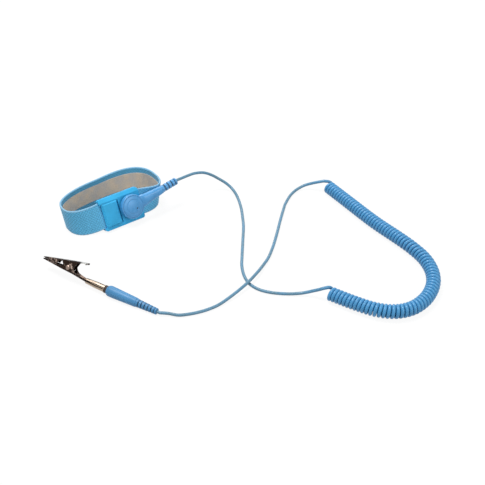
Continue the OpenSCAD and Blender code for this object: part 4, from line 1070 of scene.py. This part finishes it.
class WRISTSTRAP_OT_cord(bpy.types.Operator):
    """Run the cord from the connector through its curls to the plug"""

    bl_idname = "wrist_strap.cord"
    bl_label = "Cord"

    def coil(self):
        """Curls on a bent line: centre(u) + r (side cos a + up sin a), with a = 90 - 360 u
        degrees. They stand wider apart around the bend, and the last part of a curl at each end
        opens out along the line."""
        s = sizes()
        line = flowing(COIL_ROUTE, 24)
        way = np.gradient(line, axis=0)
        way[0], way[-1] = line[1] - line[0], line[-1] - line[-2]
        turn = np.unwrap(np.arctan2(way[:, 1], way[:, 0]))
        radius = (s.coil_diameter - s.cord_diameter * CURL_SWELL) / 2
        reached = lengths_along(line)
        middle = (reached[1:] + reached[:-1]) / 2 / MM
        steps = np.diff(reached) / np.interp(middle, *CURL_PITCH)
        count = np.concatenate([[0], np.cumsum(steps)])
        count *= s.coil_turns / count[-1]
        u = np.linspace(0, s.coil_turns, s.coil_turns * CURL_STEPS + 1)
        x, y, d = (np.interp(u, count, v) for v in (line[:, 0], line[:, 1], turn))
        angle = math.pi / 2 - TAU * u
        side = np.stack([-np.sin(d), np.cos(d), np.zeros_like(d)], -1)
        out = side * np.cos(angle)[:, None] + np.sin(angle)[:, None] * [0, 0, 1]
        opened = COIL_OPEN * sum(
            sign * np.clip(1 - away / COIL_OPEN_TURN, 0, 1) ** 2
            for sign, away in ((-1, u), (1, s.coil_turns - u)))
        centre = np.stack([x + opened * np.cos(d), y + opened * np.sin(d),
                           np.full_like(x, s.coil_diameter / 2)], -1)
        return centre + radius * out, out

    def execute(self, context):
        s = sizes()
        d = s.cord_diameter
        tip = snap_to_row([BOOT_LEN - 0.2, 0, NECK_Z])
        boot = unit(tip - snap_to_row([0, 0, NECK_Z]))
        tail = plug_to_row([-GRIP_LEN - TAIL_LEN, 0, 0])
        inner = plug_to_row([-GRIP_LEN - TAIL_LEN + CORD_IN_TAIL, 0, 0])
        back = unit(tail - inner)
        curls, out = self.coil()
        far_way, near_way = unit(curls[-1] - curls[-2]), unit(curls[0] - curls[1])
        far, near = curls[-1] + far_way * d * 0.7, curls[0] + near_way * d * 0.7
        first = np.concatenate([[tip], flowing(np.concatenate(
            [[tip + boot * d], STRAP_LEAD, [far + far_way * d * 0.4]]), 12)])
        last = np.concatenate([[inner, tail], flowing(np.concatenate(
            [[tail + back * d], PLUG_LEAD, [near + near_way * d * 0.4]]), 12)])
        lead_in = evenly(np.concatenate([first, [far]]), d / 2)
        lead_out = evenly(np.concatenate([last, [near]]), d / 2)[::-1]
        path = np.concatenate([lead_in, curls[::-1], lead_out])
        up = np.array([0, 0, 1.0])
        outs = np.concatenate([np.tile(up, (len(lead_in), 1)), out[::-1],
                               np.tile(up, (len(lead_out), 1))])
        curly = np.concatenate([np.zeros(len(lead_in)), np.ones(len(curls)),
                                np.zeros(len(lead_out))])
        window = 2 * FADE_STEPS + 1
        soft = np.convolve(np.pad(curly, FADE_STEPS, "edge"), np.ones(window) / window, "valid")
        radius = d / 2 * (1 + (CURL_SWELL - 1) * soft)
        grid = tube_grid(path, outs, radius[:, None, None], CORD_SIDES)
        along = lengths_along(path)
        uv = np.stack(
            np.broadcast_arrays(along[:, None], soft[:, None] + np.zeros(CORD_SIDES + 1)), -1)
        mesh = skin_mesh("curly_cord", grid, uv)
        cord = place(mesh, "cord_set", cord_finish(colours().lead, colours().coil),
                     "coil_jacket", ("cord_lead_strap", "cord_coil", "cord_lead_plug"))
        on_cord = [bpy.data.objects[name] for name in ("plug_grip", "plug_tail", "plug_collar")]
        on_cord += [NODES[name] for name in ("plug_pin", "plug_crimp", "plug_spring_cage")]
        return {"FINISHED"}


class WRISTSTRAP_OT_plug(bpy.types.Operator):
    """Mould the plug's grip and tail, and finish its metal pieces"""

    bl_idname = "wrist_strap.plug"
    bl_label = "Plug"

    def execute(self, context):
        plastic = finish_of("grip plastic")
        front = COLLAR_X[0]
        x = np.linspace(-GRIP_LEN, front, 80)
        rounded = np.sqrt(np.clip(1 - ((x + 2.6 - front).clip(0) / 2.7) ** 2, 0.0, 1))
        body = np.interp(
            x, [-GRIP_LEN, -24, -15, -7.5, -4.5, 0],
            [TAIL_R0 + 0.15, TAIL_R0 + 0.4, 3.5, 3.8, GRIP_R, GRIP_R])
        radius = (body - 1.35) + 1.35 * rounded
        profile = [(-GRIP_LEN, 0.3), *zip(x, radius), (front, 1.7), (-2, 1.7), (-2, 0.3)]
        grip = turned("plug_grip", profile, plug_to_row, 72)
        place(grip, "cord_set", plastic, "grip_plastic", ("plug_handle",))
        profile, ripple = ribbed(TAIL_LEN, TAIL_R0 + 0.1, TAIL_R1, TAIL_RIBS, 0.78, 0.9, 0.3)
        tail = turned(
            "plug_tail", profile,
            lambda p: plug_to_row(p * [-1, 1, 1] - [GRIP_LEN - 0.05, 0, 0]), 72, ripple, None)
        place(tail, "cord_set", plastic, "grip_plastic", ("plug_strain_relief",))
        start, stop = COLLAR_X
        rim = [(start - 0.2, 1.8), (start - 0.2, 2.6), (start, 2.75), (stop - 0.2, 2.75),
               (stop, 2.6), (stop, 1.3), (start, 1.3)]
        place(turned("plug_collar", rim, plug_to_row, 72), "cord_set",
              moulded_finish("dark collar", colours().jaws, 0.5, gloss=0.2), "grip_plastic")
        for node, finish in (
                ("plug_pin", "brass"), ("plug_crimp", "nickel plate"),
                ("plug_spring_cage", "brass")):
            dress(node, finish_of(finish))
        return {"FINISHED"}


class WRISTSTRAP_OT_clip(bpy.types.Operator):
    """Form the alligator clip's jaws, barrel, rivet and spring"""

    bl_idname = "wrist_strap.clip"
    bl_label = "Clip"

    def execute(self, context):
        steel = finish_of("bronzed sheet steel")
        softened("clip_lower_jaw", "lower_jaw", "clip", steel, "jaw_steel", 0.1)
        softened("clip_upper_jaw", "upper_jaw", "clip_jaw", steel, "jaw_steel", 0.1)
        place(self.barrel(), "clip", finish_of("drawn sleeve"), "plug_brass", ("clip_socket",))
        dress("clip_rivet", finish_of("bronzed rivet"))
        place(self.spring(), "clip", finish_of("nickel plate"), "plated_steel", ("clip_spring",))
        return {"FINISHED"}

    def barrel(self):
        """A rolled sleeve: its side profile, out along the outer wall and back along the inner
        one, is carried around the axis from one side of the seam to the other."""
        outer = [(BARREL_X0, BARREL_R), (BARREL_NECK_X, BARREL_R), (BARREL_X1, BARREL_TIP_R)]
        rim = [(x, r - BARREL_WALL) for x, r in outer[::-1]]
        profile = evenly(np.array(outer + rim + outer[:1]), 0.5)[:-1]
        half = SEAM_W / 2 / BARREL_R
        turn = np.linspace(half, TAU - half, 97)[:, None] + SEAM_TURN
        x, r = profile[:, 0], profile[:, 1]
        grid = np.stack(np.broadcast_arrays(x, -r * np.sin(turn), r * np.cos(turn)), -1)
        along = np.append(x, x[0])
        uv = np.stack(np.broadcast_arrays(np.linspace(0, 1, 97)[:, None], along * 0.01), -1)
        return skin_mesh("clip_barrel", clip_to_row(grid), uv, 35)

    def spring(self):
        """A torsion spring: curls (r cos a, width u, r sin a) around the rivet, with a falling
        with u, and a straight leg at each end that stays between the jaws' side walls."""
        u = np.linspace(0, SPRING_TURNS, 131)
        a = SPRING_PHASE - TAU * u
        curls = np.stack([
            RIVET_X + SPRING_R * np.cos(a), SPRING_SPAN * (u / SPRING_TURNS - 0.5),
            RIVET_UP + SPRING_R * np.sin(a)], -1)
        away = (curls[0] - curls[1]) * [1, 0, 1], (curls[-1] - curls[-2]) * [1, 0, 1]
        legs = [end + unit(way) * np.linspace(0.1, 1, 10)[:, None] * reach
                for end, way, reach in zip((curls[0], curls[-1]), away, SPRING_LEGS)]
        path = np.concatenate([legs[0][::-1], curls, legs[1]])
        out = np.tile([0.0, 1.0, 0.0], (len(path), 1))
        return skin_mesh("jaw_spring", clip_to_row(tube_grid(path, out, SPRING_WIRE_R, 14)))


PIECES = (
    WRISTSTRAP_OT_stage,
    WRISTSTRAP_OT_band,
    WRISTSTRAP_OT_clasp,
    WRISTSTRAP_OT_connector,
    WRISTSTRAP_OT_plug,
    WRISTSTRAP_OT_clip,
    WRISTSTRAP_OT_cord,
)


class WRISTSTRAP_PT_panel(bpy.types.Panel):
    """The wrist strap's sizes, colours and pieces"""

    bl_idname = "WRISTSTRAP_PT_panel"
    bl_label = "Wrist Strap"
    bl_space_type = "VIEW_3D"
    bl_region_type = "UI"
    bl_category = "Wrist Strap"

    def draw(self, context):
        layout = self.layout
        for group in (sizes(), colours()):
            column = layout.column(align=True)
            for name in group.__annotations__:
                column.prop(group, name)
        for piece in PIECES:
            layout.operator(piece.bl_idname)


CLASSES = (WristStrapSizes, WristStrapColours, *PIECES, WRISTSTRAP_PT_panel)


def register():
    for cls in CLASSES:
        bpy.utils.register_class(cls)
    bpy.types.Scene.wrist_strap_sizes = PointerProperty(type=WristStrapSizes)
    bpy.types.Scene.wrist_strap_colours = PointerProperty(type=WristStrapColours)


def unregister():
    del bpy.types.Scene.wrist_strap_colours
    del bpy.types.Scene.wrist_strap_sizes
    for cls in reversed(CLASSES):
        bpy.utils.unregister_class(cls)


def main():
    register()
    for piece in PIECES:
        group, name = piece.bl_idname.split(".")
        if getattr(getattr(bpy.ops, group), name)() != {"FINISHED"}:
            raise RuntimeError(f"{piece.bl_label} wasn't finished")


if __name__ == "__main__":
    main()
